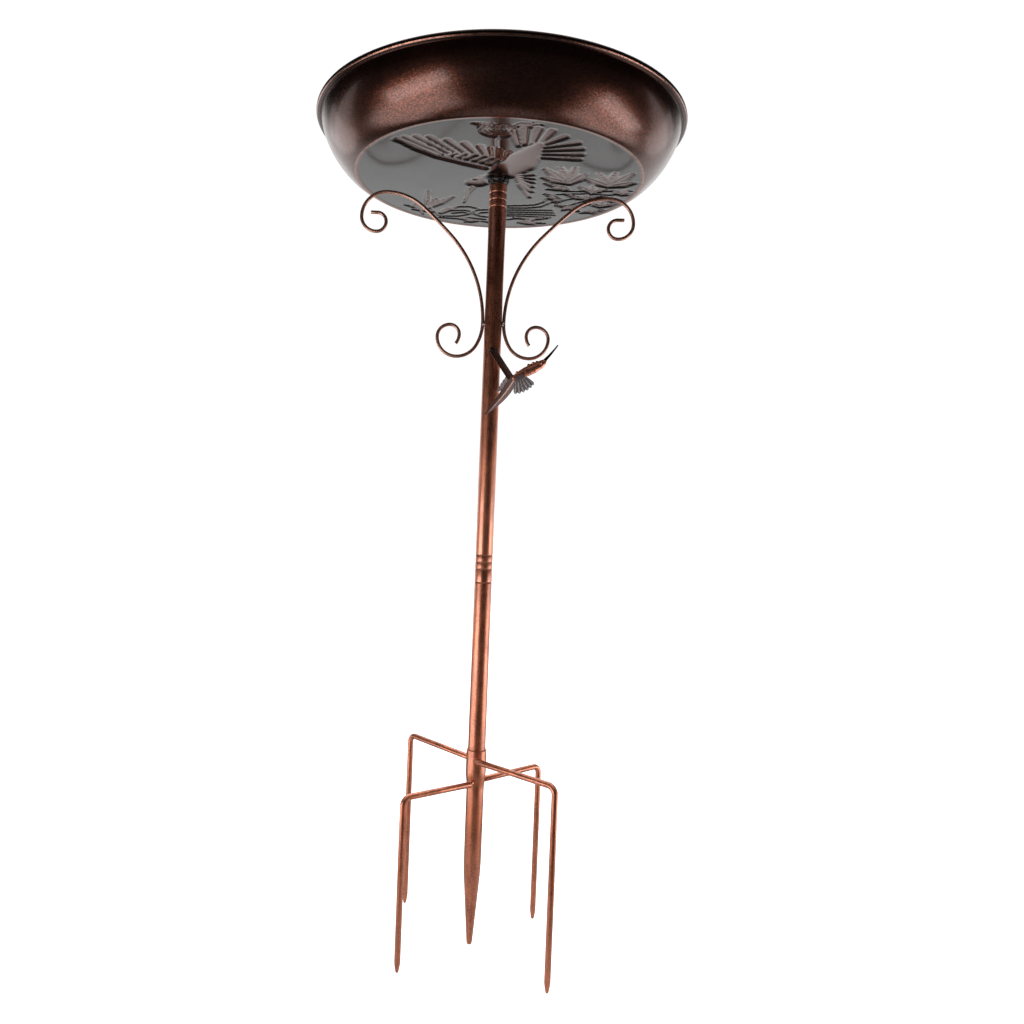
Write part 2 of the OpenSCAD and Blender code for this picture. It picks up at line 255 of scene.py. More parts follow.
# ---------------------------------------------------------------- geometry nodes
def new_tree(name, sockets):
    """An empty geometry tree with named inputs, and its group input and output nodes."""
    tree = bpy.data.node_groups.new(name, "GeometryNodeTree")
    tree.interface.new_socket("Geometry", in_out="INPUT", socket_type="NodeSocketGeometry")
    tree.interface.new_socket("Geometry", in_out="OUTPUT", socket_type="NodeSocketGeometry")
    for label, kind in sockets:
        tree.interface.new_socket(label, in_out="INPUT", socket_type=kind)
    entry = tree.nodes.new("NodeGroupInput")
    leave = tree.nodes.new("NodeGroupOutput")
    return tree, entry, leave


def run_tree(obj, tree, values):
    """Runs a geometry tree on a piece with these inputs, and keeps the plain mesh it makes."""
    modifier = obj.modifiers.new(tree.name, "NODES")
    modifier.node_group = tree
    for item in tree.interface.items_tree:
        if item.in_out == "INPUT" and item.name in values:
            modifier[item.identifier] = values[item.name]
    return baked(obj)


def finish_tree(tree, leave, entry, geometry):
    """Every tree ends in Realize Instances and Set Material."""
    real = tree.nodes.new("GeometryNodeRealizeInstances")
    paint = tree.nodes.new("GeometryNodeSetMaterial")
    tree.links.new(geometry, real.inputs["Geometry"])
    tree.links.new(real.outputs[0], paint.inputs["Geometry"])
    tree.links.new(entry.outputs["Material"], paint.inputs["Material"])
    tree.links.new(paint.outputs[0], leave.inputs[0])


def rod_tree():
    """A round rod along a line of points, as thick at each point as its rod_radius says."""
    tree, entry, leave = new_tree("bent_rod", [
        ("Sides", "NodeSocketInt"), ("Material", "NodeSocketMaterial")])
    add, link = tree.nodes.new, tree.links.new
    curve = add("GeometryNodeMeshToCurve")
    profile = add("GeometryNodeCurvePrimitiveCircle")
    profile.inputs["Radius"].default_value = 1
    radius = add("GeometryNodeInputNamedAttribute")
    radius.inputs["Name"].default_value = "rod_radius"
    sweep = add("GeometryNodeCurveToMesh")
    sweep.inputs["Fill Caps"].default_value = True
    link(entry.outputs["Geometry"], curve.inputs["Mesh"])
    link(entry.outputs["Sides"], profile.inputs["Resolution"])
    link(curve.outputs[0], sweep.inputs["Curve"])
    link(profile.outputs[0], sweep.inputs["Profile Curve"])
    link(radius.outputs["Attribute"], sweep.inputs["Scale"])
    finish_tree(tree, leave, entry, sweep.outputs[0])
    return tree


def spatter_tree():
    """Small beads of spatter, strewn over a weld and kept with it."""
    tree, entry, leave = new_tree("weld_spatter", [
        ("Density", "NodeSocketFloat"), ("Bead Radius", "NodeSocketFloat"),
        ("Seed", "NodeSocketInt"), ("Material", "NodeSocketMaterial")])
    add, link = tree.nodes.new, tree.links.new
    strew = add("GeometryNodeDistributePointsOnFaces")
    bead = add("GeometryNodeMeshIcoSphere")
    bead.inputs["Subdivisions"].default_value = 2
    size = add("FunctionNodeRandomValue")
    smallest, largest = size.inputs[2], size.inputs[3]
    smallest.default_value = 0.4
    largest.default_value = 1
    place = add("GeometryNodeInstanceOnPoints")
    smooth = add("GeometryNodeSetShadeSmooth")
    join = add("GeometryNodeJoinGeometry")
    link(entry.outputs["Geometry"], strew.inputs["Mesh"])
    link(entry.outputs["Density"], strew.inputs["Density"])
    link(entry.outputs["Seed"], strew.inputs["Seed"])
    link(entry.outputs["Bead Radius"], bead.inputs["Radius"])
    link(entry.outputs["Seed"], size.inputs["Seed"])
    link(strew.outputs["Points"], place.inputs["Points"])
    link(bead.outputs["Mesh"], smooth.inputs["Geometry"])
    link(smooth.outputs[0], place.inputs["Instance"])
    link(size.outputs[1], place.inputs["Scale"])
    link(entry.outputs["Geometry"], join.inputs[0])
    link(place.outputs[0], join.inputs[0])
    finish_tree(tree, leave, entry, join.outputs[0])
    return tree


# ---------------------------------------------------------------- finishes
def colour(red, green, blue):
    """An opaque colour."""
    return (red, green, blue, 1)


class Nodes:
    """Short ways to add and join the nodes of one shader tree."""

    def __init__(self, tree):
        self.tree = tree

    def add(self, kind, inputs=(), **settings):
        """A new node with these inputs fed and settings set."""
        node = self.tree.nodes.new("ShaderNode" + kind)
        for key, value in settings.items():
            setattr(node, key, value)
        for key, value in dict(inputs).items():
            self.feed(node.inputs[key], value)
        return node

    def feed(self, socket, value):
        """Links another node's output to a socket, or sets a plain value on it."""
        if isinstance(value, bpy.types.NodeSocket):
            self.tree.links.new(value, socket)
        else:
            socket.default_value = value

    def math(self, operation, a, b):
        return self.add("Math", {0: a, 1: b}, operation=operation).outputs[0]

    def times(self, a, b):
        return self.math("MULTIPLY", a, b)

    def within(self, value, middle, reach):
        """1 where value is no further than reach from middle, and 0 elsewhere."""
        return self.add("Math", {0: value, 1: middle, 2: reach}, operation="COMPARE").outputs[0]

    def from_axis(self, place):
        """The place's X, Y and Z, and how far it is from the pole's axis."""
        spot = self.add("SeparateXYZ", {0: place}).outputs
        flat = self.add("CombineXYZ", {0: spot["X"], 1: spot["Y"]}).outputs[0]
        return spot, self.add("VectorMath", {0: flat}, operation="LENGTH").outputs["Value"]

    def ramp(self, value, low, high, to_low=0.0, to_high=1.0):
        """A smooth step of value between low and high."""
        node = self.add("MapRange", {
            "Value": value, "From Min": low, "From Max": high, "To Min": to_low, "To Max": to_high},
            interpolation_type="SMOOTHSTEP")
        return node.outputs["Result"]

    def blend(self, amount, a, b):
        """Colour a where the amount is 0, and b where it is 1."""
        node = self.add("Mix", data_type="RGBA")
        self.feed(node.inputs["Factor"], amount)
        self.feed(node.inputs[6], a)
        self.feed(node.inputs[7], b)
        return node.outputs[2]

    def noise(self, vector, scale, detail=4.0, rough=0.55):
        node = self.add("TexNoise", {
            "Vector": vector, "Scale": scale, "Detail": detail, "Roughness": rough})
        return node.outputs[0]

    def group(self, tree, inputs):
        node = self.tree.nodes.new("ShaderNodeGroup")
        node.node_tree = tree
        for key, value in inputs.items():
            self.feed(node.inputs[key], value)
        return node


def shader_group(name, inputs, outputs):
    """An empty shader group with named sockets, ready to be filled in."""
    tree = bpy.data.node_groups.new(name, "ShaderNodeTree")
    for label, kind in inputs:
        tree.interface.new_socket(label, in_out="INPUT", socket_type="NodeSocket" + kind)
    for label, kind in outputs:
        tree.interface.new_socket(label, in_out="OUTPUT", socket_type="NodeSocket" + kind)
    entry = tree.nodes.new("NodeGroupInput")
    leave = tree.nodes.new("NodeGroupOutput")
    return Nodes(tree), entry.outputs, leave.inputs


def patina_group():
    """Copper dust rubbed over a dark ground: speckle by the grain, and clouds by the mottle."""
    n, given, made = shader_group("copper_patina", [
        ("Vector", "Vector"), ("Copper", "Color"), ("Ground", "Color"), ("Cover", "Float"),
        ("Grain", "Float"), ("Mottle", "Float"), ("Softness", "Float")],
        [("Color", "Color"), ("Bare", "Float")])
    grain = n.noise(given["Vector"], given["Grain"], 3, 0.7)
    mottle = n.noise(given["Vector"], given["Mottle"], 4, 0.6)
    both = n.math("ADD", n.times(grain, 0.6), n.times(mottle, 0.4))
    level = n.math("ADD", both, n.math("SUBTRACT", given["Cover"], 0.5))
    low = n.math("SUBTRACT", 0.5, given["Softness"])
    high = n.math("ADD", 0.5, given["Softness"])
    bare = n.ramp(level, low, high)
    n.feed(made["Bare"], bare)
    n.feed(made["Color"], n.blend(bare, given["Ground"], given["Copper"]))
    return n.tree


def grain_group():
    """Roughness that varies with the grain, and a height for the bump of sprayed metal."""
    n, given, made = shader_group("sprayed_grain", [
        ("Vector", "Vector"), ("Bare", "Float"), ("Smooth", "Float"), ("Rough", "Float"),
        ("Grain", "Float")],
        [("Roughness", "Float"), ("Height", "Float")])
    fine = n.noise(given["Vector"], given["Grain"], 2, 0.6)
    broad = n.noise(given["Vector"], n.times(given["Grain"], 0.05), 3, 0.5)
    between = n.add("MapRange", {
        "Value": broad, "From Min": 0.3, "From Max": 0.7,
        "To Min": given["Smooth"], "To Max": given["Rough"]})
    n.feed(made["Roughness"], between.outputs["Result"])
    n.feed(made["Height"], n.math("ADD", n.times(fine, 0.7), n.times(given["Bare"], 0.3)))
    return n.tree


def scuff_group():
    """Thin scuffs where the finish is rubbed through, all one way along the stretched vector."""
    n, given, made = shader_group("rubbed_scuffs", [
        ("Vector", "Vector"), ("Scale", "Float"), ("Amount", "Float")],
        [("Mask", "Float")])
    lines = n.noise(given["Vector"], given["Scale"], 5, 0.75)
    cut = n.math("SUBTRACT", 1.0, given["Amount"])
    n.feed(made["Mask"], n.ramp(lines, n.times(cut, 0.62), n.math("ADD", cut, 0.05)))
    return n.tree


PATINA = patina_group()
GRAIN = grain_group()
SCUFFS = scuff_group()
PLAIN_ROUGHNESS = 0.4  # what shows wherever the pattern can't be read


def material(name, metallic=1.0, coat=1.0, coat_roughness=0.12):
    """A principled material with its node helper: the constants go straight on its sockets."""
    mat = bpy.data.materials.new(name)
    mat.use_nodes = True
    shader = mat.node_tree.nodes["Principled BSDF"]
    shader.inputs["Metallic"].default_value = metallic
    shader.inputs["Roughness"].default_value = PLAIN_ROUGHNESS
    shader.inputs["Coat Weight"].default_value = coat
    shader.inputs["Coat Roughness"].default_value = coat_roughness
    shader.inputs["Coat IOR"].default_value = 1.5
    n = Nodes(mat.node_tree)
    place = n.add("TexCoord").outputs["Object"]
    return mat, n, shader.inputs, place


def stretched(n, place, x, y, z):
    """The place with each axis scaled, which stretches a pattern along the small ones."""
    return n.add("Mapping", {"Vector": place, "Scale": (x, y, z)}).outputs[0]


def bumped(n, height, strength, distance):
    """The normal of a surface that stands up by this height."""
    return n.add("Bump", {"Height": height, "Strength": strength, "Distance": distance}).outputs[0]


def sprayed(n, shader, place, bare, roughness, grain, strength, distance):
    """Gives a shader the roughness, from smooth to rough, and the bump of sprayed metal."""
    texture = n.group(GRAIN, {
        "Vector": place, "Bare": bare, "Smooth": roughness[0], "Rough": roughness[1],
        "Grain": grain}).outputs
    n.feed(shader["Roughness"], texture["Roughness"])
    n.feed(shader["Normal"], bumped(n, texture["Height"], strength, distance))


def copper_finish(name, copper, ground, cover, mottle=60.0, soft=0.12, roughness=(0.3, 0.45),
                  streak=1.0):
    """Antique copper: copper dust over a dark ground, under a satin varnish."""
    mat, n, shader, place = material(name)
    patina = n.group(PATINA, {
        "Vector": stretched(n, place, 1, 1, streak), "Copper": copper, "Ground": ground,
        "Cover": cover, "Grain": 1500.0, "Mottle": mottle, "Softness": soft}).outputs
    n.feed(shader["Base Color"], patina["Color"])
    sprayed(n, shader, place, patina["Bare"], roughness, 1800.0, 0.25, 0.15 * MM)
    return mat, n, shader, place, patina["Color"]


def pole_finish(name, copper, ground, cover, lighter_below, low, high):
    """A tube's finish, scuffed along its length, and lighter and more copper towards its lower end: partly
    a patina, and partly painted light below and painted shade towards the top.
    """
    mat, n, shader, place, plain = copper_finish(
        name, copper, ground, cover, mottle=90.0, streak=0.45, roughness=(0.34, 0.5))
    # Lighter towards the lower end and darker towards the top: partly patina, partly painted light and
    # shade.
    height = n.add("SeparateXYZ", {0: place}).outputs["Z"]
    down = n.ramp(height, high, low)
    patina_and_light_below = n.blend(n.times(down, lighter_below), plain, copper)
    scuffs = n.group(SCUFFS, {
        "Vector": stretched(n, place, 1, 1, 0.06), "Scale": 260.0, "Amount": 0.42}).outputs[0]
    n.feed(shader["Base Color"], n.blend(n.times(scuffs, 0.35), patina_and_light_below, ground))
    return mat


def bowl_finish():
    """The bowl: dark bronze with copper dust on the wall, and a copper line on rim and crease that is
    partly rubbed wear and partly a painted highlight.
    """
    copper, ground = colour(0.27, 0.088, 0.053), colour(0.008, 0.004, 0.003)
    mat, n, shader, place = material("bowl_bronze", coat=0.6, coat_roughness=0.14)
    spot, reach = n.from_axis(place)
    patina = n.group(PATINA, {
        "Vector": stretched(n, place, 1, 1, 2.2), "Copper": copper, "Ground": ground,
        "Cover": 0.45, "Grain": 1900.0, "Mottle": 620.0, "Softness": 0.17}).outputs
    pewter = n.group(PATINA, {
        "Vector": place, "Copper": colour(0.045, 0.038, 0.036), "Ground": colour(0.015, 0.013, 0.013),
        "Cover": 0.5, "Grain": 700.0, "Mottle": 40.0, "Softness": 0.3}).outputs
    relief = n.add("Attribute", attribute_name="relief").outputs["Fac"]
    raised = n.times(n.ramp(relief, 0.1, 0.6), 0.75)
    floor = n.blend(raised, pewter["Color"], colour(0.115, 0.045, 0.032))
    on_floor = n.ramp(reach, FOOT_R - CREASE_W * 0.6, FOOT_R - CREASE_W * 1.4)
    body = n.blend(on_floor, patina["Color"], floor)
    # Near black on the bowl round the stud, fading out between 17 and 11 mm from the axis.
    darker_round_stud = n.ramp(reach, 17 * MM, 11 * MM)
    body = n.blend(darker_round_stud, body, colour(0.004, 0.003, 0.003))
    # The copper line round the foot crease and along the underside of the rolled rim is partly rubbed wear
    # and partly a painted highlight, where the crease and the bead catch the light.
    low_down = n.ramp(spot["Z"], FOOT_Z + 3 * MM, FOOT_Z + 1 * MM)
    crease = n.times(n.within(reach, FOOT_R - 0.2 * MM, 0.9 * MM), low_down)
    on_rim = n.ramp(reach, WALL_R + 0.5 * MM, WALL_R + 1.2 * MM)
    rim_line = n.times(n.within(spot["Z"], RIM_Z - 1.6 * MM, 0.4 * MM), on_rim)
    patchy = n.ramp(n.noise(place, 400.0, 3, 0.6), 0.38, 0.6, 0.35, 1.0)
    rubbed = n.times(n.math("MAXIMUM", crease, rim_line), patchy)
    body = n.blend(n.times(on_rim, 0.75), body, colour(0.016, 0.009, 0.008))
    n.feed(shader["Base Color"], n.blend(rubbed, body, colour(0.34, 0.14, 0.09)))
    sprayed(n, shader, place, patina["Bare"], (0.19, 0.26), 1100.0, 0.35, 0.2 * MM)
    return mat


def feather_finish(name, ridge, hollow, metallic=1.0, coat=0.5):
    """Pressed feathers: rubbed bright on their ridges and dark in between."""
    mat, n, shader, place = material(name, metallic=metallic, coat=coat, coat_roughness=0.2)
    ridges = n.add("Attribute", attribute_name="ridge").outputs["Fac"]
    mottle = n.noise(place, 350.0, 4, 0.6)
    level = n.math("ADD", ridges, n.times(n.math("SUBTRACT", mottle, 0.5), 0.9))
    worn = n.ramp(level, 0.25, 0.95)
    n.feed(shader["Base Color"], n.blend(worn, hollow, ridge))
    sprayed(n, shader, place, worn, (0.3, 0.5), 1500.0, 0.3, 0.12 * MM)
    return mat


def black_finish():
    """Blackened steel and weld: near black, with small bright painted glints standing for highlights on the
    lumpy weld.
    """
    mat, n, shader, place = material("blackened_steel", coat=0.7, coat_roughness=0.25)
    # Small bright spots painted into the colour: painted glints, standing for highlights on the weld's
    # bumps.
    painted_glints = n.ramp(n.noise(place, 520.0, 2, 0.5), 0.66, 0.74)
    ground = n.blend(n.noise(place, 90.0, 3), colour(0.012, 0.010, 0.010), colour(0.05, 0.035, 0.03))
    n.feed(shader["Base Color"], n.blend(painted_glints, ground, colour(0.35, 0.30, 0.30)))
    sprayed(n, shader, place, painted_glints, (0.3, 0.6), 900.0, 0.5, 0.3 * MM)
    return mat


def zinc_finish():
    """Bright zinc plate on the studs, plug and inserts, turned round the axis."""
    mat, n, shader, place = material("zinc_plate", coat=0.0)
    lines = n.noise(stretched(n, place, 1, 1, 12), 320.0, 4, 0.6)
    clouds = n.noise(place, 120.0, 3, 0.5)
    n.feed(shader["Base Color"], n.blend(clouds, colour(0.50, 0.49, 0.46), colour(0.70, 0.69, 0.66)))
    n.feed(shader["Roughness"], n.ramp(lines, 0.3, 0.7, 0.2, 0.42))
    n.feed(shader["Normal"], bumped(n, lines, 0.2, 0.1 * MM))
    return mat


FINISH = {
    "bowl_copper": bowl_finish(),
    "pole_copper": pole_finish(
        "pole_copper", colour(0.86, 0.31, 0.18), colour(0.07, 0.02, 0.013), 0.55, 0.8,
        UPPER_Z0, SCROLL_Z + 60 * MM),
    "stake_copper": pole_finish(
        "stake_copper", colour(0.95, 0.32, 0.17), colour(0.13, 0.03, 0.016), 0.55, 0.3,
        LOWER_Z1, LOWER_Z1 + 40 * MM),
    "wire_copper": copper_finish(
        "wire_copper", colour(0.74, 0.38, 0.27), colour(0.34, 0.16, 0.12), 0.52,
        soft=0.25, roughness=(0.38, 0.55))[0],
    "bird_copper": copper_finish(
        "bird_copper", colour(0.85, 0.32, 0.20), colour(0.28, 0.08, 0.05), 0.60,
        mottle=150.0, soft=0.2)[0],
    "feather_pewter": feather_finish(
        "feather_pewter", colour(0.88, 0.86, 0.87), colour(0.20, 0.15, 0.15), metallic=0.2),
    "blackened": black_finish(),
    "zinc_steel": zinc_finish(),
}
TAIL_FINISH = feather_finish(
    "tail_bronze", colour(0.62, 0.38, 0.31), colour(0.13, 0.06, 0.05), metallic=0.5)
WELD_FINISH = copper_finish(
    "weld_bright", colour(0.80, 0.66, 0.60), colour(0.10, 0.045, 0.035), 0.52, mottle=700.0)[0]
BILL_FINISH = feather_finish(
    "bill_black", colour(0.03, 0.02, 0.018), colour(0.012, 0.008, 0.007), coat=0.0)
STRAP_FINISH = copper_finish(
    "strap_bronze", colour(0.36, 0.17, 0.12), colour(0.05, 0.022, 0.018), 0.48)[0]
ROD = rod_tree()
SPATTER = spatter_tree()
SLOTS = {row["node"]: row["material_slot"] for row in frame["record"]["subparts"]}


def settle(obj, node, body, finish=None):
    """Puts a finished piece in place of its node: the finish of its slot unless another is given, and its
    body.
    """
    slot = SLOTS[node]
    obj.data.materials.clear()
    obj.data.materials.append(finish or FINISH[slot])
    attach(obj, body)
    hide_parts(node)
    return obj


# ---------------------------------------------------------------- the bowl and its pressed picture
# The picture is pressed up from below. Its shapes are pillows and lines along a few points, in
# millimetres on the floor seen from above: X to the right and Y to the back.
def pillow(x, y, points, widths, height=1.0, edge=0.55):
    """How high a rounded pillow along a line of points stands at x, y."""
    widths = widths if isinstance(widths, (list, tuple)) else [widths] * len(points)
    off = np.full(x.shape, np.inf)  # how far off the line, squared, as a share of its width
    for (ax, ay), (bx, by), wa, wb in zip(points, points[1:], widths, widths[1:]):
        dx, dy = bx - ax, by - ay
        t = np.clip(((x - ax) * dx + (y - ay) * dy) / (dx * dx + dy * dy), 0, 1)
        width = wa + (wb - wa) * t
        off = np.minimum(off, ((x - ax - t * dx) ** 2 + (y - ay - t * dy) ** 2) / width ** 2)
    return height * np.clip(1 - off, 0, None) ** edge


def bend(cx, cy, radius, start, end, squash=1.0, steps=9):
    """Points along an arc about cx, cy."""
    turns = [math.radians(start + (end - start) * k / steps) for k in range(steps + 1)]
    return [(cx + radius * math.cos(a), cy + radius * squash * math.sin(a)) for a in turns]


BIG_WING = [  # each feather's base and tip
    ((-52, -52), (-84, -82)), ((-48, -55), (-77, -87)), ((-41, -56), (-68, -89)),
    ((-34, -56), (-57, -89)), ((-26, -56), (-43, -84)), ((-18, -55), (-29, -79)),
    ((-11, -53), (-16, -74)), ((-6, -50), (-7, -70)), ((-1, -47), (0, -67)), ((3, -44), (6, -64)),
]
COVERTS = [((-44, -51), (-36, -57)), ((-36, -49), (-29, -57)), ((-29, -47), (-21, -56)),
           ((-22, -44), (-13, -54)), ((-15, -41), (-7, -51)), ((-9, -37), (-1, -48))]
FAN_TAIL = [
    ((15, -77), (10, -101)), ((20, -80), (18, -108)), ((26, -81), (29, -110)),
    ((32, -82), (40, -107)), ((35, -80), (51, -97)), ((37, -75), (62, -86)),
    ((37, -69), (66, -75)), ((37, -62), (67, -64)), ((36, -55), (66, -54)),
]
SMALL_WING = [((14, -12), (30, -17)), ((15, -10), (31, -8)), ((16, -7), (31, 1)),
              ((17, -4), (31, 12)), ((18, 0), (31, 24)), ((19, 6), (30, 38))]
LEAVES = [  # each leaf's stalk end, and the tips of its lobes
    ((64, 2), [(39, -12), (40, -32), (53, -36), (66, -36), (76, -22)], 7.5),
    ((101, 6), [(78, -12), (88, -24), (102, -27), (117, -26), (124, -6)], 7.5),
    ((64, 16), [(42, 2), (45, 16), (58, 8)], 4.5),
    ((88, 24), [(74, 6), (86, 3), (98, 12)], 4.5),
    ((116, 26), [(106, 14), (118, 10), (125, 20)], 4.2),
    ((82, 40), [(62, 26), (70, 34), (84, 27), (96, 30)], 4.5),
    ((62, 44), [(44, 28), (47, 40), (52, 50)], 4.5),
    ((110, 44), [(100, 30), (112, 31), (122, 38)], 4.5),
    ((72, 62), [(56, 58), (64, 72), (80, 74), (84, 58)], 4.5),
    ((100, 60), [(90, 48), (102, 43), (116, 46)], 5.0),
    ((96, 70), [(84, 78), (96, 80), (110, 68)], 5.0),
    ((-4, -112), [(-22, -117), (-17, -110)], 4.0),
    ((10, -114), [(24, -121), (32, -117), (26, -112)], 4.0),
    ((-70, 76), [(-66, 28), (-60, 50)], 4.0),
    ((-72, 80), [(-43, 43), (-58, 58)], 5.5),
    ((-66, 88), [(-92, 70), (-86, 82)], 4.0),
    ((-58, 92), [(-40, 70), (-48, 74)], 4.0),
    ((-20, 112), [(-42, 106), (-34, 116)], 4.0),
    ((6, 118), [(-16, 112), (-6, 122)], 3.8),
    ((22, 112), [(38, 104), (50, 112), (40, 118)], 4.2),
    ((34, 102), [(16, 97), (52, 96)], 3.4),
]
STEMS = [
    [(50, 30), (66, 26), (84, 24), (104, 26), (126, 19)], [(60, 20), (84, 18), (124, 14)],
    [(62, 44), (78, 34), (92, 22), (100, 12)], [(66, 60), (80, 46), (98, 30)],
    [(74, 70), (84, 56), (100, 46)], [(52, 28), (58, 40), (56, 58)], [(0, -98), (-3, -86), (-2, -70)],
    [(-76, 96), (-82, 70), (-80, 60)], [(-60, 100), (-66, 80), (-70, 60), (-68, 44)],
]
RIPPLES = [
    [(10, 63), (24, 61), (36, 58), (44, 50), (47, 40)], [(10, 69), (28, 68), (42, 63), (50, 52)],
    [(10, 75), (26, 74), (54, 72)], [(10, 81), (30, 80), (56, 79)], [(10, 87), (30, 86), (58, 86)],
    [(10, 92), (28, 92), (54, 93)], [(10, 104), (20, 100), (30, 101), (42, 97)],
    [(-10, 76), (-20, 78), (-26, 84)], [(-10, 84), (-18, 86), (-22, 92)], [(-10, 98), (-18, 96), (-24, 90)],
    [(-24, 84), (-34, 80), (-46, 82), (-62, 92)], [(-58, 100), (-40, 98), (-30, 92), (-24, 84)],
    [(-20, 74), (-28, 69), (-38, 70), (-44, 74)], [(-46, 90), (-36, 86), (-30, 88)],
    [(-60, 104), (-44, 106), (-28, 102), (-12, 106)],
]


def pressed_picture(x, y):
    """The height of the pressed picture at x, y, from 0 on the plain floor to about 2."""
    top = np.zeros(x.shape)
    cut = np.zeros(x.shape)

    def raise_up(*shape, **more):
        np.maximum(top, pillow(x, y, *shape, **more), out=top)

    def groove(*shape, **more):
        np.maximum(cut, pillow(x, y, *shape, **more), out=cut)

    for base, tip in BIG_WING:
        raise_up([base, tip], [2.6, 4.2], 1.25)
        groove([base, tip], [0.5, 0.7], 0.35)
    raise_up([(-86, -83), (-70, -64), (-52, -49), (-32, -39), (-12, -29)], [1.5, 2.6, 3.4, 4.2, 3.8], 1.6)
    for base, tip in COVERTS:
        raise_up([base, tip], [3.6, 2.6], 1.4)
    for base, tip in FAN_TAIL:
        raise_up([base, tip], [2.4, 4.6], 1.25)
        groove([base, tip], [0.5, 0.8], 0.35)
    for base, tip in SMALL_WING:
        raise_up([base, tip], [2.4, 2.8], 1.1)
    body = [(32, -79), (27, -68), (21, -52), (17, -38), (6, -18), (-12, -2), (-21, 6)]
    raise_up(body, [4.5, 8.5, 14, 15.5, 12, 9.5, 10], 2.1, edge=0.45)
    bill, eye = [(-25, 18), (-29, 34), (-33, 58)], [(-22.5, 4), (-21.5, 4)]
    raise_up(bill, [3.4, 2.0, 1.1], 1.5)
    groove(bill, [0.6, 0.5, 0.4], 0.5)
    groove(eye, 2.3, 0.9)
    for root, tips, width in LEAVES:
        for tip in tips:
            middle = ((root[0] + tip[0]) / 2, (root[1] + tip[1]) / 2)
            raise_up([root, middle, tip], [width * 0.5, width, width * 0.35], 1.25)
            groove([root, tip], [0.9, 0.5], 0.55)
    for line in STEMS:
        raise_up(line, 1.3, 1.0)
    for line in RIPPLES:
        raise_up(line, 1.7, 1.0)
    raise_up([(-5, -105), (2, -105)], 12, 0.7, edge=0.3)  # the flower, with rings of petals on it
    for radius, turned, height in ((14, 0, 1.2), (10.2, 40, 1.5), (6.6, 10, 1.8), (3.4, 60, 2.0)):
        for k in range(4):
            start = turned + 90 * k
            raise_up(bend(-2, -105, radius, start, start + 74, 0.85), 1.35, height)
    raise_up([(-2.5, -105), (-1.5, -105)], 1.4, 2.0)
    height = np.clip(top - cut, 0, None)
    reach = np.hypot(x, y)
    from_stud, from_edge = reach - 9.5, 126.5 - reach
    fade = 4
    return height * np.clip(from_stud / fade, 0, 1) * np.clip(from_edge / fade, 0, 1)


def wall_line(t):
    """Outside of the wall: 0 degrees is under the rim and 90 is at the foot crease."""
    c, s = math.cos(math.radians(t)), math.sin(math.radians(t))
    return Vector((FOOT_R + (WALL_R - FOOT_R) * max(c, 0) ** 1.42, RIM_Z - BOWL_DEPTH * s ** 1.25))


def wall_section(rows=18, bead_steps=14):
    """The wall from the crease's outside, round the rolled rim, and down to the crease's inside."""
    outer = [wall_line(88 - (88 - 10.5) * i / rows) for i in range(rows + 1)]
    inner = []
    for i in range(rows + 1):
        t = 2 + 84 * i / rows
        along = (wall_line(t + 1) - wall_line(t - 1)).normalized()
        inner.append(wall_line(t) + SHEET_T * Vector((along.y, -along.x)))
    bead = []
    for k in range(bead_steps + 1):
        a = math.radians(-124 + 300 * k / bead_steps)
        bead.append(Vector((BOWL_R - RIM_R + RIM_R * math.cos(a), RIM_Z + RIM_R * math.sin(a))))
    return outer + bead + inner


def disc_grid(cells, radius):
    """A square grid of points bent into a disc, as arrays of X and Y."""
    steps = np.linspace(-1, 1, cells + 1)
    a, b = np.meshgrid(steps, steps, indexing="ij")
    wide = np.abs(a) >= np.abs(b)
    safe_a, safe_b = np.where(a == 0, 1, a), np.where(b == 0, 1, b)
    reach = np.where(wide, a, b)
    turn = np.where(wide, np.pi / 4 * b / safe_a, np.pi / 2 - np.pi / 4 * a / safe_b)
    x, y = reach * np.cos(turn) * radius, reach * np.sin(turn) * radius
    return np.where(reach == 0, 0, x), np.where(reach == 0, 0, y)


def bowl_shell(cells=192):
    """The pressed pan as one closed skin: the floor's two sides, and the wall round them."""
    flat_r = FOOT_R - CREASE_W
    x, y = disc_grid(cells, flat_r)
    low = np.stack([x, y, FLOOR_Z + pressed_picture(x / MM, y / MM) * MM], -1).reshape(-1, 3)
    high = low + (0, 0, SHEET_T)
    index = np.arange(len(low)).reshape(x.shape)
    quads = np.stack([index[:-1, :-1], index[1:, :-1], index[1:, 1:], index[:-1, 1:]], -1).reshape(-1, 4)
    faces = [tuple(q) for q in quads[:, ::-1]] + [tuple(q) for q in quads + len(low)]
    edge = list(index[-1, :]) + list(index[-2::-1, -1]) + list(index[0, -2::-1]) + list(index[1:-1, 0])
    # The wall has half as many points round it as the floor's edge has.
    turns = len(edge) // 2
    angles = [math.atan2(low[i][1], low[i][0]) for i in edge[::2]]
    section = wall_section()
    verts = [tuple(v) for v in np.concatenate([low, high])]
    first = len(verts)
    last = first + (len(section) - 1) * turns
    verts += [(r * math.cos(t), r * math.sin(t), z) for r, z in section for t in angles]
    faces += ring_faces(len(section), turns, first)
    for j in range(turns):
        k = (j + 1) % turns
        p, q, r = edge[2 * j], edge[2 * j + 1], edge[2 * k]
        faces += [(p, q, first + j), (q, r, first + k), (q, first + k, first + j)]
        p, q, r = p + len(low), q + len(low), r + len(low)
        faces += [(p, last + j, q), (q, last + k, r), (q, last + j, last + k)]
    bowl = sharpen(piece("bowl_shell", verts, faces), 50)
    x, y = points_of(bowl)[:, 0] / MM, points_of(bowl)[:, 1] / MM
    on_floor = np.hypot(x, y) < flat_r / MM
    number_layer(bowl.data, "relief", np.where(on_floor, pressed_picture(x, y) / 2, 0))
    return settle(bowl, "bowl_pan", "bowl")


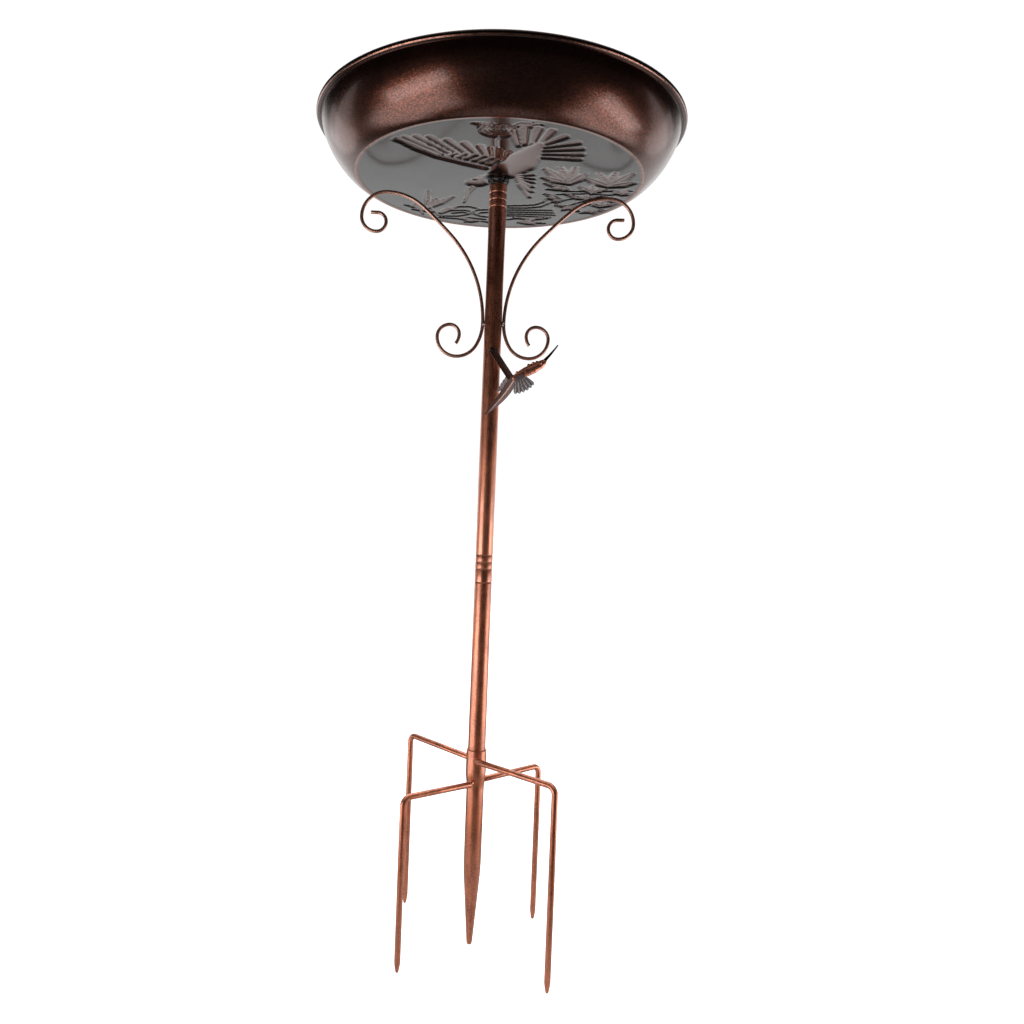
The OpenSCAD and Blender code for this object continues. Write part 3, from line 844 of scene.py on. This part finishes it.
def stud(name, node, body, low, high, point_up):
    """A stud with a rolled thread: the crest winds up it once for every pitch."""
    rows, sides = int((high - low) / THREAD_PITCH * 10), 40
    depth = 0.61 * THREAD_PITCH
    point, run_out = 1.25 * MM, 0.6 * MM
    verts = [(0, 0, low)]
    for i in range(rows + 1):
        z = low + (high - low) * i / rows
        to_end = (high - z) if point_up else (z - low)
        crest = STUD_R - max(0, point - to_end)
        fade = min(1, min(z - low, high - z) / run_out)
        for k in range(sides):
            phase = (z / THREAD_PITCH - k / sides) % 1
            cut = min(1, abs(2 * phase - 1) * 1.25)
            radius = min(crest, STUD_R - depth * (1 - cut) * fade)
            a = 2 * math.pi * k / sides
            verts.append((radius * math.cos(a), radius * math.sin(a), z))
    verts.append((0, 0, high))
    faces = ring_faces(rows + 1, sides, 1)
    top = 1 + rows * sides
    for k in range(sides):
        n = (k + 1) % sides
        faces += [(0, 1 + n, 1 + k), (len(verts) - 1, top + k, top + n)]
    return settle(sharpen(piece(name, verts, faces), 50), node, body)


def weld_ring():
    """The lumpy ring of weld between the bowl and its stud, with spatter round it."""
    low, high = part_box("stud_weld")[0].z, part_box("stud_weld")[1].z
    section = rounded([
        (STUD_R, low, 0), (TUBE_R + 0.1 * MM, low, 0.8 * MM),
        (TUBE_R + 0.7 * MM, (low + high) / 2, 1.2 * MM),
        (RING_R + 0.3 * MM, high, 0), (STUD_R, high, 0)], steps=5)
    spacing = 0.35 * MM
    dense = []
    for (r0, z0), (r1, z1) in zip(section, section[1:] + section[:1]):
        count = max(1, int(math.hypot(r1 - r0, z1 - z0) / spacing))
        dense += [(r0 + (r1 - r0) * k / count, z0 + (z1 - z0) * k / count) for k in range(count)]
    ring = lathe("weld_ring", dense, 128)
    points = points_of(ring)
    reach = np.hypot(points[:, 0], points[:, 1])
    outside = np.clip((reach - TUBE_R) / (0.6 * MM), 0, 1)
    below_top = np.clip((high - points[:, 2]) / (0.4 * MM), 0, 1)
    bumps = wander(points, 3.2 * MM, 3) * 0.55 + wander(points, 1.4 * MM, 4) * 0.3
    points[:, :2] *= (1 + bumps * MM * outside * below_top / reach)[:, None]
    move_points(ring, points)
    run_tree(ring, SPATTER, {
        "Density": 150000.0, "Bead Radius": 0.6 * MM, "Seed": 5, "Material": FINISH["blackened"]})
    for v in ring.data.vertices:
        v.co.z = min(max(v.co.z, low), high + 0.2 * MM)
    return settle(ring, "stud_weld", "bowl")


# ---------------------------------------------------------------- tubes
def crimped_side(radius, heights):
    """Points up the side of a tube, with a rolled groove at each height."""
    width, depth, steps = 2.0 * MM, 0.42 * MM, 8
    points = []
    for z in heights:
        for k in range(steps + 1):
            t = k / steps
            dip = depth * (0.5 - 0.5 * math.cos(2 * math.pi * t))
            points.append((radius - dip, z + (t - 0.5) * width))
    return points


def pole_tubes():
    """The upper tube with its crimps near both ends, and the plain lower tube with its chamfer."""
    low = [UPPER_Z0 + LOW_CRIMP_START + i * CRIMP_PITCH for i in range(CRIMPS)]
    top = [UPPER_Z1 - TOP_CRIMP_START - i * CRIMP_PITCH for i in reversed(range(CRIMPS))]
    outside = [(r, z, 0) for r, z in crimped_side(TUBE_R, low + top)]
    inside = [(r, z, 0) for r, z in crimped_side(BORE_R, low + top)[::-1]]
    lower_end = [(BORE_R, UPPER_Z0, 0.15 * MM), (TUBE_R, UPPER_Z0, 0.45 * MM)]
    upper_end = [(TUBE_R, UPPER_Z1, 0.45 * MM), (BORE_R, UPPER_Z1, 0.15 * MM)]
    upper = rounded(lower_end + outside + upper_end + inside)
    settle(lathe("upper_pole_tube", upper), "upper_tube", "upper_pole")
    lower = rounded([
        (BORE_R, LOWER_Z0, 0.15 * MM), (TUBE_R, LOWER_Z0, 0.4 * MM),
        (TUBE_R, LOWER_Z1 - 1.0 * MM, 0.35 * MM), (TUBE_R - 0.55 * MM, LOWER_Z1, 0.2 * MM),
        (BORE_R, LOWER_Z1, 0.1 * MM)])
    settle(lathe("lower_pole_tube", lower), "lower_tube", "lower_pole")


def spike():
    """The spike: swaged to a blunt point below and rolled out into a lipped socket above."""
    seat, flare, taper = LOWER_Z0, LOWER_Z0 - 10 * MM, 70.7 * MM
    lip = 0.45 * MM
    section = rounded([
        (0, 0, 0), (2.1 * MM, 0, 0.8 * MM), (2.7 * MM, 2.2 * MM, 1.2 * MM), (TUBE_R, taper, 9 * MM),
        (TUBE_R, flare, 3 * MM), (SOCKET_R, seat + 1 * MM, 3 * MM), (SOCKET_R, SOCKET_TOP, lip),
        (SOCKET_IN, SOCKET_TOP, lip), (SOCKET_IN, seat, 0.2 * MM), (BORE_R, seat - 0.5 * MM, 0.2 * MM),
        (BORE_R, taper, 3 * MM), (1 * MM, 7 * MM, 0.5 * MM), (0, 7 * MM, 0)], steps=6)
    settle(lathe("ground_spike", section), "spike_tube", "stake")


# ---------------------------------------------------------------- bent rods
def rod(name, points, radii, sides, node, body):
    """A bent rod along a line of points, swept by the rod tree."""
    mesh = bpy.data.meshes.new(name)
    mesh.from_pydata([tuple(p) for p in points], [(i, i + 1) for i in range(len(points) - 1)], [])
    number_layer(mesh, "rod_radius", radii)
    line = bpy.data.objects.new(name, mesh)
    bpy.context.scene.collection.objects.link(line)
    run_tree(line, ROD, {"Sides": sides, "Material": FINISH[SLOTS[node]]})
    return settle(sharpen(line, 50), node, body)


def eased_ends(points, radius, cut):
    """The rod's points and radii with its two cut ends slightly rounded off."""
    points = [Vector(p) for p in points]
    head = (points[1] - points[0]).normalized()
    tail = (points[-2] - points[-1]).normalized()
    line = [points[0], points[0] + head * cut * 0.3, points[0] + head * cut] + points[1:-1]
    line += [points[-1] + tail * cut, points[-1] + tail * cut * 0.3, points[-1]]
    end = [radius - cut, radius - cut * 0.3, radius]
    return line, end + [radius] * (len(points) - 2) + end[::-1]


# Each scroll leaves its weld as two runs of arcs: a radius in millimetres and a turn in degrees.
# Radius 0 is a straight, and its second number is a length.
UPPER_ARCS = [(115, 44), (400, 5), (52, 41), (22.5, 90), (13.6, 90), (9, 90), (8.2, 90), (0, 6)]
LOWER_ARCS = [(40, 30), (21, 60), (17.5, 90), (11.3, 90), (8.8, 90), (13, 40)]


def arc_run(x, z, heading, arcs, side):
    """Points along a run of arcs from x, z, turning left if side is 1 and right if it is -1."""
    step = 2 * MM
    points = []
    for radius, turn in arcs:
        radius = radius * MM
        by_length = math.ceil(radius * math.radians(turn) / step)
        steps = max(math.ceil(turn / 4), by_length) if radius else 1
        x0, z0, h0 = x, z, heading
        for k in range(1, steps + 1):
            if radius == 0:
                x, z = x0 + turn * MM * math.cos(h0), z0 + turn * MM * math.sin(h0)
            else:
                h = h0 + side * math.radians(turn) * k / steps
                x = x0 + side * radius * (math.sin(h) - math.sin(h0))
                z = z0 + side * radius * (math.cos(h0) - math.cos(h))
                heading = h
            points.append((x, z))
    return points


def scrolls():
    """The two wires, each a mirror of the other."""
    down = arc_run(SCROLL_X, SCROLL_Z, -math.pi / 2, LOWER_ARCS, 1)[::-1]
    up = arc_run(SCROLL_X, SCROLL_Z, math.pi / 2, UPPER_ARCS, -1)
    path = down + [(SCROLL_X, SCROLL_Z)] + up
    for side, node in ((1, "scroll_right"), (-1, "scroll_left")):
        points, radii = eased_ends([(side * x, 0, z) for x, z in path], WIRE_R, 0.2 * MM)
        rod(node + "_wire", points, radii, 20, node, "upper_pole")


def prong_path(start, foot, arm_z, bend_r=7 * MM, steps=12):
    """A prong's centre line: a level arm, and a quarter bend down towards its foot."""
    way = (foot - start).normalized()
    turn = foot - way * bend_r
    line = [(p.x, p.y, arm_z) for p in (start, start + (foot - start) * 0.5)]
    for k in range(steps + 1):
        a = math.pi / 2 * k / steps
        flat = turn + way * bend_r * math.sin(a)
        line.append((flat.x, flat.y, arm_z - bend_r * (1 - math.cos(a))))
    return line


def prongs():
    """The four prongs; gives back the points where their inner ends lie on the tube."""
    tip_len, tip_r = 11 * MM, 1.0 * MM
    gap = 0.05 * MM
    side_low = TUBE_R + 0.71 * MM + gap
    plans = [  # the foot's reach in millimetres and its direction, and where the arm starts
        ("prong_front_right", 98, -47, -95, SOCKET_R + gap + PRONG_R),
        ("prong_back_left", 98, 133, 133, SOCKET_R + gap),
        ("prong_front_left", 80.6, -139.7, -113, side_low + PRONG_R),
        ("prong_back_right", 80.6, 40.3, 40.3, side_low),
    ]
    legs = [  # down the leg's point: height and radius
        (tip_len * 1.6, PRONG_R), (tip_len * 0.85, PRONG_R), (tip_len * 0.55, PRONG_R * 0.88),
        (tip_len * 0.28, PRONG_R * 0.7), (0.8 * MM, tip_r * 1.45), (0.2 * MM, tip_r * 1.2),
        (0, tip_r * 0.7)]
    ends = []
    for node, reach, foot_turn, start_turn, start_reach in plans:
        foot_turn, start_turn = math.radians(foot_turn), math.radians(start_turn)
        start = Vector((math.cos(start_turn), math.sin(start_turn))) * start_reach
        foot = Vector((math.cos(foot_turn), math.sin(foot_turn))) * reach * MM
        line = prong_path(start, foot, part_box(node)[1].z - PRONG_R)
        first = Vector(line[0]) + (Vector(line[1]) - Vector(line[0])).normalized() * 0.5 * MM
        line.insert(1, tuple(first))
        radii = [PRONG_R - 0.35 * MM] + [PRONG_R] * (len(line) - 1) + [r for _, r in legs]
        line += [(foot.x, foot.y, z) for z, _ in legs]
        rod(node + "_rod", line, radii, 28, node, "stake")
        ends.append(Vector(line[0]))
    return ends


def weld_blobs(name, node, body, centres, radius, squash, seed, voxel, finish=None):
    """Beads of weld: lumps of overlapping drops with a rippled skin."""
    rng = np.random.default_rng(seed)
    drops = 5
    shapes = []
    for centre in centres:
        for k in range(drops):
            drift = Vector(rng.normal(size=3)) * radius * 0.28
            shapes.append(ball(Vector(centre) + drift * (k > 0), radius * rng.uniform(0.55, 0.85), squash))
    beads = remeshed(lumps(name, shapes), voxel)
    push(beads, wander(points_of(beads), radius * 0.9, seed) * radius * 0.07)
    return settle(beads, node, body, finish)


def welds(prong_ends):
    """The beads between the prongs and the spike, and between the scrolls and the upper tube."""
    rods = []
    for end in prong_ends:
        inward = Vector((end.x, end.y, 0)).normalized()
        rods.append(end - inward * PRONG_R * 0.55)
    weld_blobs("prong_weld_beads", "prong_welds", "stake", rods, PRONG_R, (1, 1, 1.05), 11,
               0.22 * MM)
    spots = [(sx * (TUBE_R + 0.5 * MM), sy * WIRE_R * 1.1, SCROLL_Z)
             for sx in (-1, 1) for sy in (-1, 1)]
    weld_blobs("scroll_weld_beads", "scroll_welds", "upper_pole", spots, 1.7 * MM, (0.8, 0.8, 1.7), 12,
               0.16 * MM, WELD_FINISH)


# ---------------------------------------------------------------- the bird
STRAP_TOP = Vector((1 * MM, -TUBE_R - 1.15 * MM, SCROLL_Z - 26 * MM))
STRAP_END = WAIST + Vector((-1.5, 3.6, -1.5)) * MM


def bird_body():
    """The bird's body: a plump spine of balls from the waist to the head, with a crest of curls."""
    spine = [  # along X and Z from the waist, with the radius
        (0, 0, 2.5), (3, 1.7, 3.1), (6.5, 3.7, 3.9), (10, 5.7, 4.3), (13.5, 7.3, 4.4), (17, 9, 4.3),
        (20, 10.9, 3.8), (22.5, 12.4, 3.7), (24.5, 13.9, 3.2), (26, 15.3, 2.2), (27, 16.4, 1.5)]
    crest = [(2.2, 4.8, 1.3), (12.4, 11.6, 1.5), (16.6, 13.4, 1.6), (19.8, 14.4, 1.6), (14.6, 12.2, 1.1)]
    eye_x, eye_z, lean = 23.2, 13.6, math.radians(28)
    shapes = []
    for (x0, z0, r0), (x1, z1, r1) in zip(spine, spine[1:]):
        for t in (0, 0.5):
            centre = WAIST + Vector((x0 + (x1 - x0) * t, 0, z0 + (z1 - z0) * t)) * MM
            shapes.append(ball(centre, (r0 + (r1 - r0) * t) * MM, (1, 0.82, 1)))
    for x, z, r in crest:
        shapes.append(ball(WAIST + Vector((x, -0.6, z)) * MM, r * MM))
    body = remeshed(lumps("bird_body_shell", shapes), 0.28 * MM)
    x, y, z = ((points_of(body) - np.array(WAIST)) / MM).T
    along = x * math.cos(lean) + z * math.sin(lean)
    scales = np.sin(along * 2.1) * np.sin(y * 2.4 + np.cos(along * 1.05) * 1.5)
    on_back = np.clip((along - 3) / 3, 0, 1) * np.clip((22 - along) / 3, 0, 1)
    from_eye = np.hypot(x - eye_x, z - eye_z)
    eye = 0.45 * np.exp(-from_eye ** 2 / 0.5) - 0.4 * np.exp(-(from_eye - 1.35) ** 2 / 0.09)
    push(body, (scales * 0.06 * on_back + (np.abs(y) > 0.5) * eye) * MM)
    return settle(body, "bird_body", "upper_pole")


def bird_beak():
    """The long bill: round at the head, with a line between its halves, and drawn out to a point."""
    root = WAIST + Vector((25.5, 0, 15.4)) * MM
    tip = WAIST + Vector((37.7, 0, 30.4)) * MM
    way = (tip - root).normalized()
    side = Vector((0, 1, 0))
    up = side.cross(way)
    rows, sides = 30, 20
    verts = []
    for i in range(rows + 1):
        t = i / rows
        centre = root + (tip - root) * t + up * 0.35 * MM * math.sin(math.pi * t)
        radius = (0.6 + 1.0 * (1 - t) ** 1.2) * MM
        for k in range(sides):
            a = 2 * math.pi * k / sides
            seam = 1 - 0.16 * math.exp(-(math.sin(a) / 0.22) ** 2)
            verts.append(centre + (side * math.cos(a) + up * math.sin(a)) * radius * seam)
    bill = piece("bird_bill", verts, bar_faces(rows + 1, sides))
    return settle(bill, "bird_beak", "upper_pole", BILL_FINISH)


def feathered(name, node, place, rows, columns, thickness, pressed, finish=None):
    """A pressed sheet of feathers: place puts its points, and pressed says how high each stands."""
    shares = [[(i / rows, j / columns) for j in range(columns + 1)] for i in range(rows + 1)]
    grid = [[place(t, s) for t, s in row] for row in shares]
    values = [pressed(t, s) for row in shares for t, s in row]
    sheet = sheet_solid(name, grid, thickness)
    tree = KDTree(len(values))
    for i, p in enumerate(p for row in grid for p in row):
        tree.insert(p, i)
    tree.balance()
    number_layer(sheet.data, "ridge", [values[tree.find(v.co)[1]] for v in sheet.data.vertices])
    return settle(sheet, node, "upper_pole", finish)


def bird_tail():
    """The long tail: a curved, tapering blade with a quill and slanting barbs."""
    root = WAIST + Vector((0.8, 0, -0.6)) * MM
    tip = WAIST + Vector((-24.3, 0, -33.0)) * MM
    length = (tip - root).length
    way = (tip - root).normalized()
    out = Vector((0, 1, 0)).cross(way).normalized()
    barbs = 40

    def pressed(t, s):
        off = abs(2 * s - 1)
        barb = 0.5 + 0.5 * math.cos(2 * math.pi * (barbs * t - off * 2.2))
        quill = math.exp(-(off / 0.16) ** 2)
        return max(0.55 * barb * min(1, off * 4), quill) * min(1, 6 * (1 - t))

    def place(t, s):
        off = 2 * s - 1
        width = 4.9 * MM * math.sin(math.pi * min(1, 0.28 + 0.72 * t)) ** 0.8 * (1 - 0.25 * t) + 0.2 * MM
        middle = root + way * length * t - out * (1.5 * MM * math.sin(math.pi * t))
        tilt = out * 0.8 + Vector((0, -0.6, 0))
        fold = Vector((0, 1, 0)).lerp(out, 0.3) * abs(off) * 0.7 * MM
        return middle + tilt * off * width + fold - tilt.cross(way) * pressed(t, s) * 0.28 * MM

    return feathered("bird_tail_sheet", "bird_tail", place, 200, 24, 0.9 * MM, pressed, TAIL_FINISH)


def bird_wing(name, node, root, along, out, mirror, spread, length):
    """A fan of feathers from the body's side: each has a rounded tip, a quill and its own step."""
    root = Vector(root)
    along, out = Vector(along).normalized(), Vector(out).normalized()
    out = (out - along * along.dot(out)).normalized()
    normal = along.cross(out) * mirror
    feathers = 6

    def pressed(t, s):
        part = (s * feathers) % 1
        vane = math.sin(math.pi * part) ** 0.6
        quill = math.exp(-((part - 0.5) / 0.09) ** 2)
        barb = 0.12 * math.cos(2 * math.pi * (t * 26 - abs(part - 0.5) * 3))
        return max(0.0, 0.6 * vane + 0.4 * quill + barb) * min(1, t * 3)

    def place(t, s):
        part = (s * feathers) % 1 if s < 1 else 1
        lean = math.radians(spread[0] + (spread[1] - spread[0]) * s)
        reach = (0.62 + 0.38 * math.sin(math.pi * (0.25 + 0.62 * s))) * length * MM
        notch = 1 - 0.13 * (1 - math.sin(math.pi * part) ** 0.8)
        way = out * math.cos(lean) + along * math.sin(lean)
        start = root + along * (1 + 6.5 * s) * MM
        droop = normal * (2.5 * t * t * mirror) * MM
        lift = normal * (pressed(t, s) * 0.3 + 0.2 * part) * MM
        return start + way * reach * notch * t + droop + lift

    return feathered(name, node, place, 48, feathers * 12, 0.8 * MM, pressed)


def bird_wings():
    """The near wing, spread below the body, and the far wing behind it."""
    body_line = Vector((math.cos(math.radians(27)), 0, math.sin(math.radians(27))))
    bird_wing("bird_right_wing", "bird_wing_right", WAIST + Vector((0.5, -2.6, 0)) * MM,
              body_line, (0.27, -0.82, -0.50), 1, (-24, 14), 26)
    tail_line = Vector((math.cos(math.radians(60)), 0.12, math.sin(math.radians(60))))
    bird_wing("bird_left_wing", "bird_wing_left", WAIST + Vector((-1, 2.6, -2)) * MM,
              tail_line, (-0.42, 0.85, -0.1), -1, (-50, -8), 22)


def bird_strap():
    """The strap: a flat bar with eased edges, bowed a little along its length, and welded at both ends."""
    way = STRAP_TOP - STRAP_END
    side = Vector((way.z, 0, -way.x)).normalized()
    flat = side.cross(way).normalized()
    half_w, half_t, eased = 3.1 * MM, 0.8 * MM, 0.4 * MM
    outline = rounded([(-half_w, -half_t, eased), (half_w, -half_t, eased),
                       (half_w, half_t, eased), (-half_w, half_t, eased)], steps=3)
    rows = 24
    verts = []
    for i in range(rows + 1):
        t = i / rows
        bow = 0.5 * MM * math.sin(math.pi * t)
        centre = STRAP_END + way * (-0.01 + 1.03 * t) - flat * bow
        verts += [centre + side * u + flat * v for u, v in outline]
    bar = sharpen(piece("bird_strap_bar", verts, bar_faces(rows + 1, len(outline))), 40)
    settle(bar, "bird_strap", "upper_pole", STRAP_FINISH)
    spots = [STRAP_TOP + Vector((u, 0.35, 1.0)) * MM for u in (-2.4, -0.8, 0.8, 2.4)]
    spots += [STRAP_END + Vector((1.2, -1.6, 1)) * MM]
    weld_blobs("strap_weld_beads", "strap_welds", "upper_pole", spots, 1.5 * MM, (1.1, 0.9, 1), 13,
               0.16 * MM)


def zinc_nodes():
    """The plug and the inserts keep their own solids, in zinc."""
    for node in ("joint_plug", "joint_insert", "bowl_insert"):
        frame["nodes"][node].data.materials.clear()
        frame["nodes"][node].data.materials.append(FINISH["zinc_steel"])


# ---------------------------------------------------------------- studio
WHITE = colour(1.08, 1.08, 1.08)  # a little over 1, so that no edge shows between floor and backdrop


def pool_of_light(n, turn, start, end):
    """The floor's light between two turns about the pole, with soft ends."""
    soft = 0.3
    return n.times(n.ramp(turn, start, start + soft), n.ramp(turn, end, end - soft))


def floor_finish():
    """White paper to the camera. The metal mirrors bright pools on it, to both sides and behind."""
    paper = bpy.data.materials.new("studio_paper")
    paper.use_nodes = True
    shader = paper.node_tree.nodes["Principled BSDF"].inputs
    n = Nodes(paper.node_tree)
    spot, reach = n.from_axis(n.add("TexCoord").outputs["Object"])
    turn = n.math("ARCTAN2", spot["X"], n.times(spot["Y"], -1.0))
    ring = n.times(n.ramp(reach, 0.3, 0.5), n.ramp(reach, 1.6, 0.9))
    left = pool_of_light(n, turn, -2.0, -0.5)
    right = n.times(pool_of_light(n, turn, 0.95, 2.3), 0.85)
    pools = n.times(ring, n.times(n.math("ADD", left, right), 2.3))
    behind = n.times(n.ramp(spot["Y"], 0.6, 1.3), 0.8)
    near = n.times(n.ramp(reach, 0.32, 0.14), 0.42)
    glow = n.math("ADD", n.math("MAXIMUM", near, n.math("MAXIMUM", pools, behind)), 0.02)
    seen = n.add("LightPath").outputs["Is Camera Ray"]
    n.feed(shader["Base Color"], n.blend(seen, colour(0.04, 0.04, 0.04), colour(0.9, 0.9, 0.9)))
    n.feed(shader["Emission Color"], n.blend(seen, glow, WHITE))
    shader["Emission Strength"].default_value = 1.0
    shader["Roughness"].default_value = 0.9
    return paper


def soft_box(name, place, width, height, power, mirrored=True):
    """An oblong light turned towards the pole. The metal doesn't mirror it if mirrored is off."""
    light = bpy.data.lights.new(name, "AREA")
    light.shape = "RECTANGLE"
    light.size, light.size_y = width, height
    light.energy = power
    lamp = bpy.data.objects.new(name, light)
    lamp.location = place
    aim = Vector((0, 0, 0.3)) - Vector(place)
    lamp.rotation_euler = aim.to_track_quat("-Z", "Y").to_euler()
    lamp.visible_glossy = mirrored
    bpy.context.scene.collection.objects.link(lamp)


def studio():
    """A white floor and backdrop, soft boxes round the pole, and a dark front for the metal."""
    just_under = -0.5 * MM
    verts = [(x, y, just_under) for x, y in ((-60, -4), (60, -4), (60, 90), (-60, 90))]
    floor = piece("studio_floor", verts, [(0, 1, 2, 3)])
    if floor.data.polygons[0].normal.z < 0:
        floor.data.flip_normals()
    floor.data.materials.append(floor_finish())

    world = bpy.data.worlds.new("studio")
    bpy.context.scene.world = world
    world.use_nodes = True
    n = Nodes(world.node_tree)
    way = n.add("SeparateXYZ", {0: n.add("TexCoord").outputs["Generated"]}).outputs
    behind = n.ramp(way["Y"], 0.62, 0.86)
    above = n.ramp(way["Z"], 0.45, 0.95, 0.0, 0.6)
    glow = n.math("MAXIMUM", behind, above)
    seen = n.add("LightPath").outputs["Is Camera Ray"]
    room = n.blend(glow, colour(0.015, 0.015, 0.015), colour(1, 1, 1))
    backdrop = world.node_tree.nodes["Background"].inputs
    n.feed(backdrop["Color"], n.blend(seen, room, WHITE))
    backdrop["Strength"].default_value = 1.0

    soft_box("soft_box_left", (-0.82, -0.57, 0.14), 0.8, 0.28, 2.2)
    soft_box("soft_box_right", (1.0, -0.09, 0.14), 0.7, 0.28, 1.75)
    soft_box("soft_box_back_left", (-1.3, 1.0, 0.45), 0.6, 0.9, 1.3)
    soft_box("soft_box_back_right", (1.4, 0.9, 0.45), 0.5, 0.9, 1.1)
    soft_box("fill_light", (-0.5, -1.4, 0.2), 0.6, 0.6, 9, mirrored=False)
    soft_box("soft_box_top", (0, 0.8, 2.6), 2.5, 1.6, 30)


def camera():
    """Low in front of the pole, looking level, with the bowl seen from below."""
    yaw, pitch, roll = math.radians(-0.9756), math.radians(-1.0938), math.radians(2.2088)
    ahead = Vector((math.sin(yaw) * math.cos(pitch), math.cos(yaw) * math.cos(pitch), math.sin(pitch)))
    level = Vector((math.cos(yaw), -math.sin(yaw), 0))
    plumb = level.cross(ahead)
    right = level * math.cos(roll) + plumb * math.sin(roll)
    up = plumb * math.cos(roll) - level * math.sin(roll)
    data = bpy.data.cameras.new("camera")
    data.sensor_width = 36
    data.lens = 29.38
    data.shift_x, data.shift_y = 0.0395, 0.0008
    data.clip_start = 0.01
    lens = bpy.data.objects.new("camera", data)
    turn = Matrix((right, up, -ahead)).transposed()
    lens.matrix_world = Matrix.Translation((0, -0.7665, 0.4135)) @ turn.to_4x4()
    bpy.context.scene.collection.objects.link(lens)
    bpy.context.scene.camera = lens


bpy.context.scene.view_settings.view_transform = "Standard"
camera()
studio()
bowl_shell()
weld_ring()
stud("bowl_thread_stud", "bowl_stud", "bowl", *(c.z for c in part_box("bowl_stud")), False)
stud("joint_thread_stud", "joint_stud", "lower_pole", *(c.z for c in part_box("joint_stud")), True)
pole_tubes()
spike()
scrolls()
welds(prongs())
bird_body()
bird_beak()
bird_tail()
bird_wings()
bird_strap()
zinc_nodes()
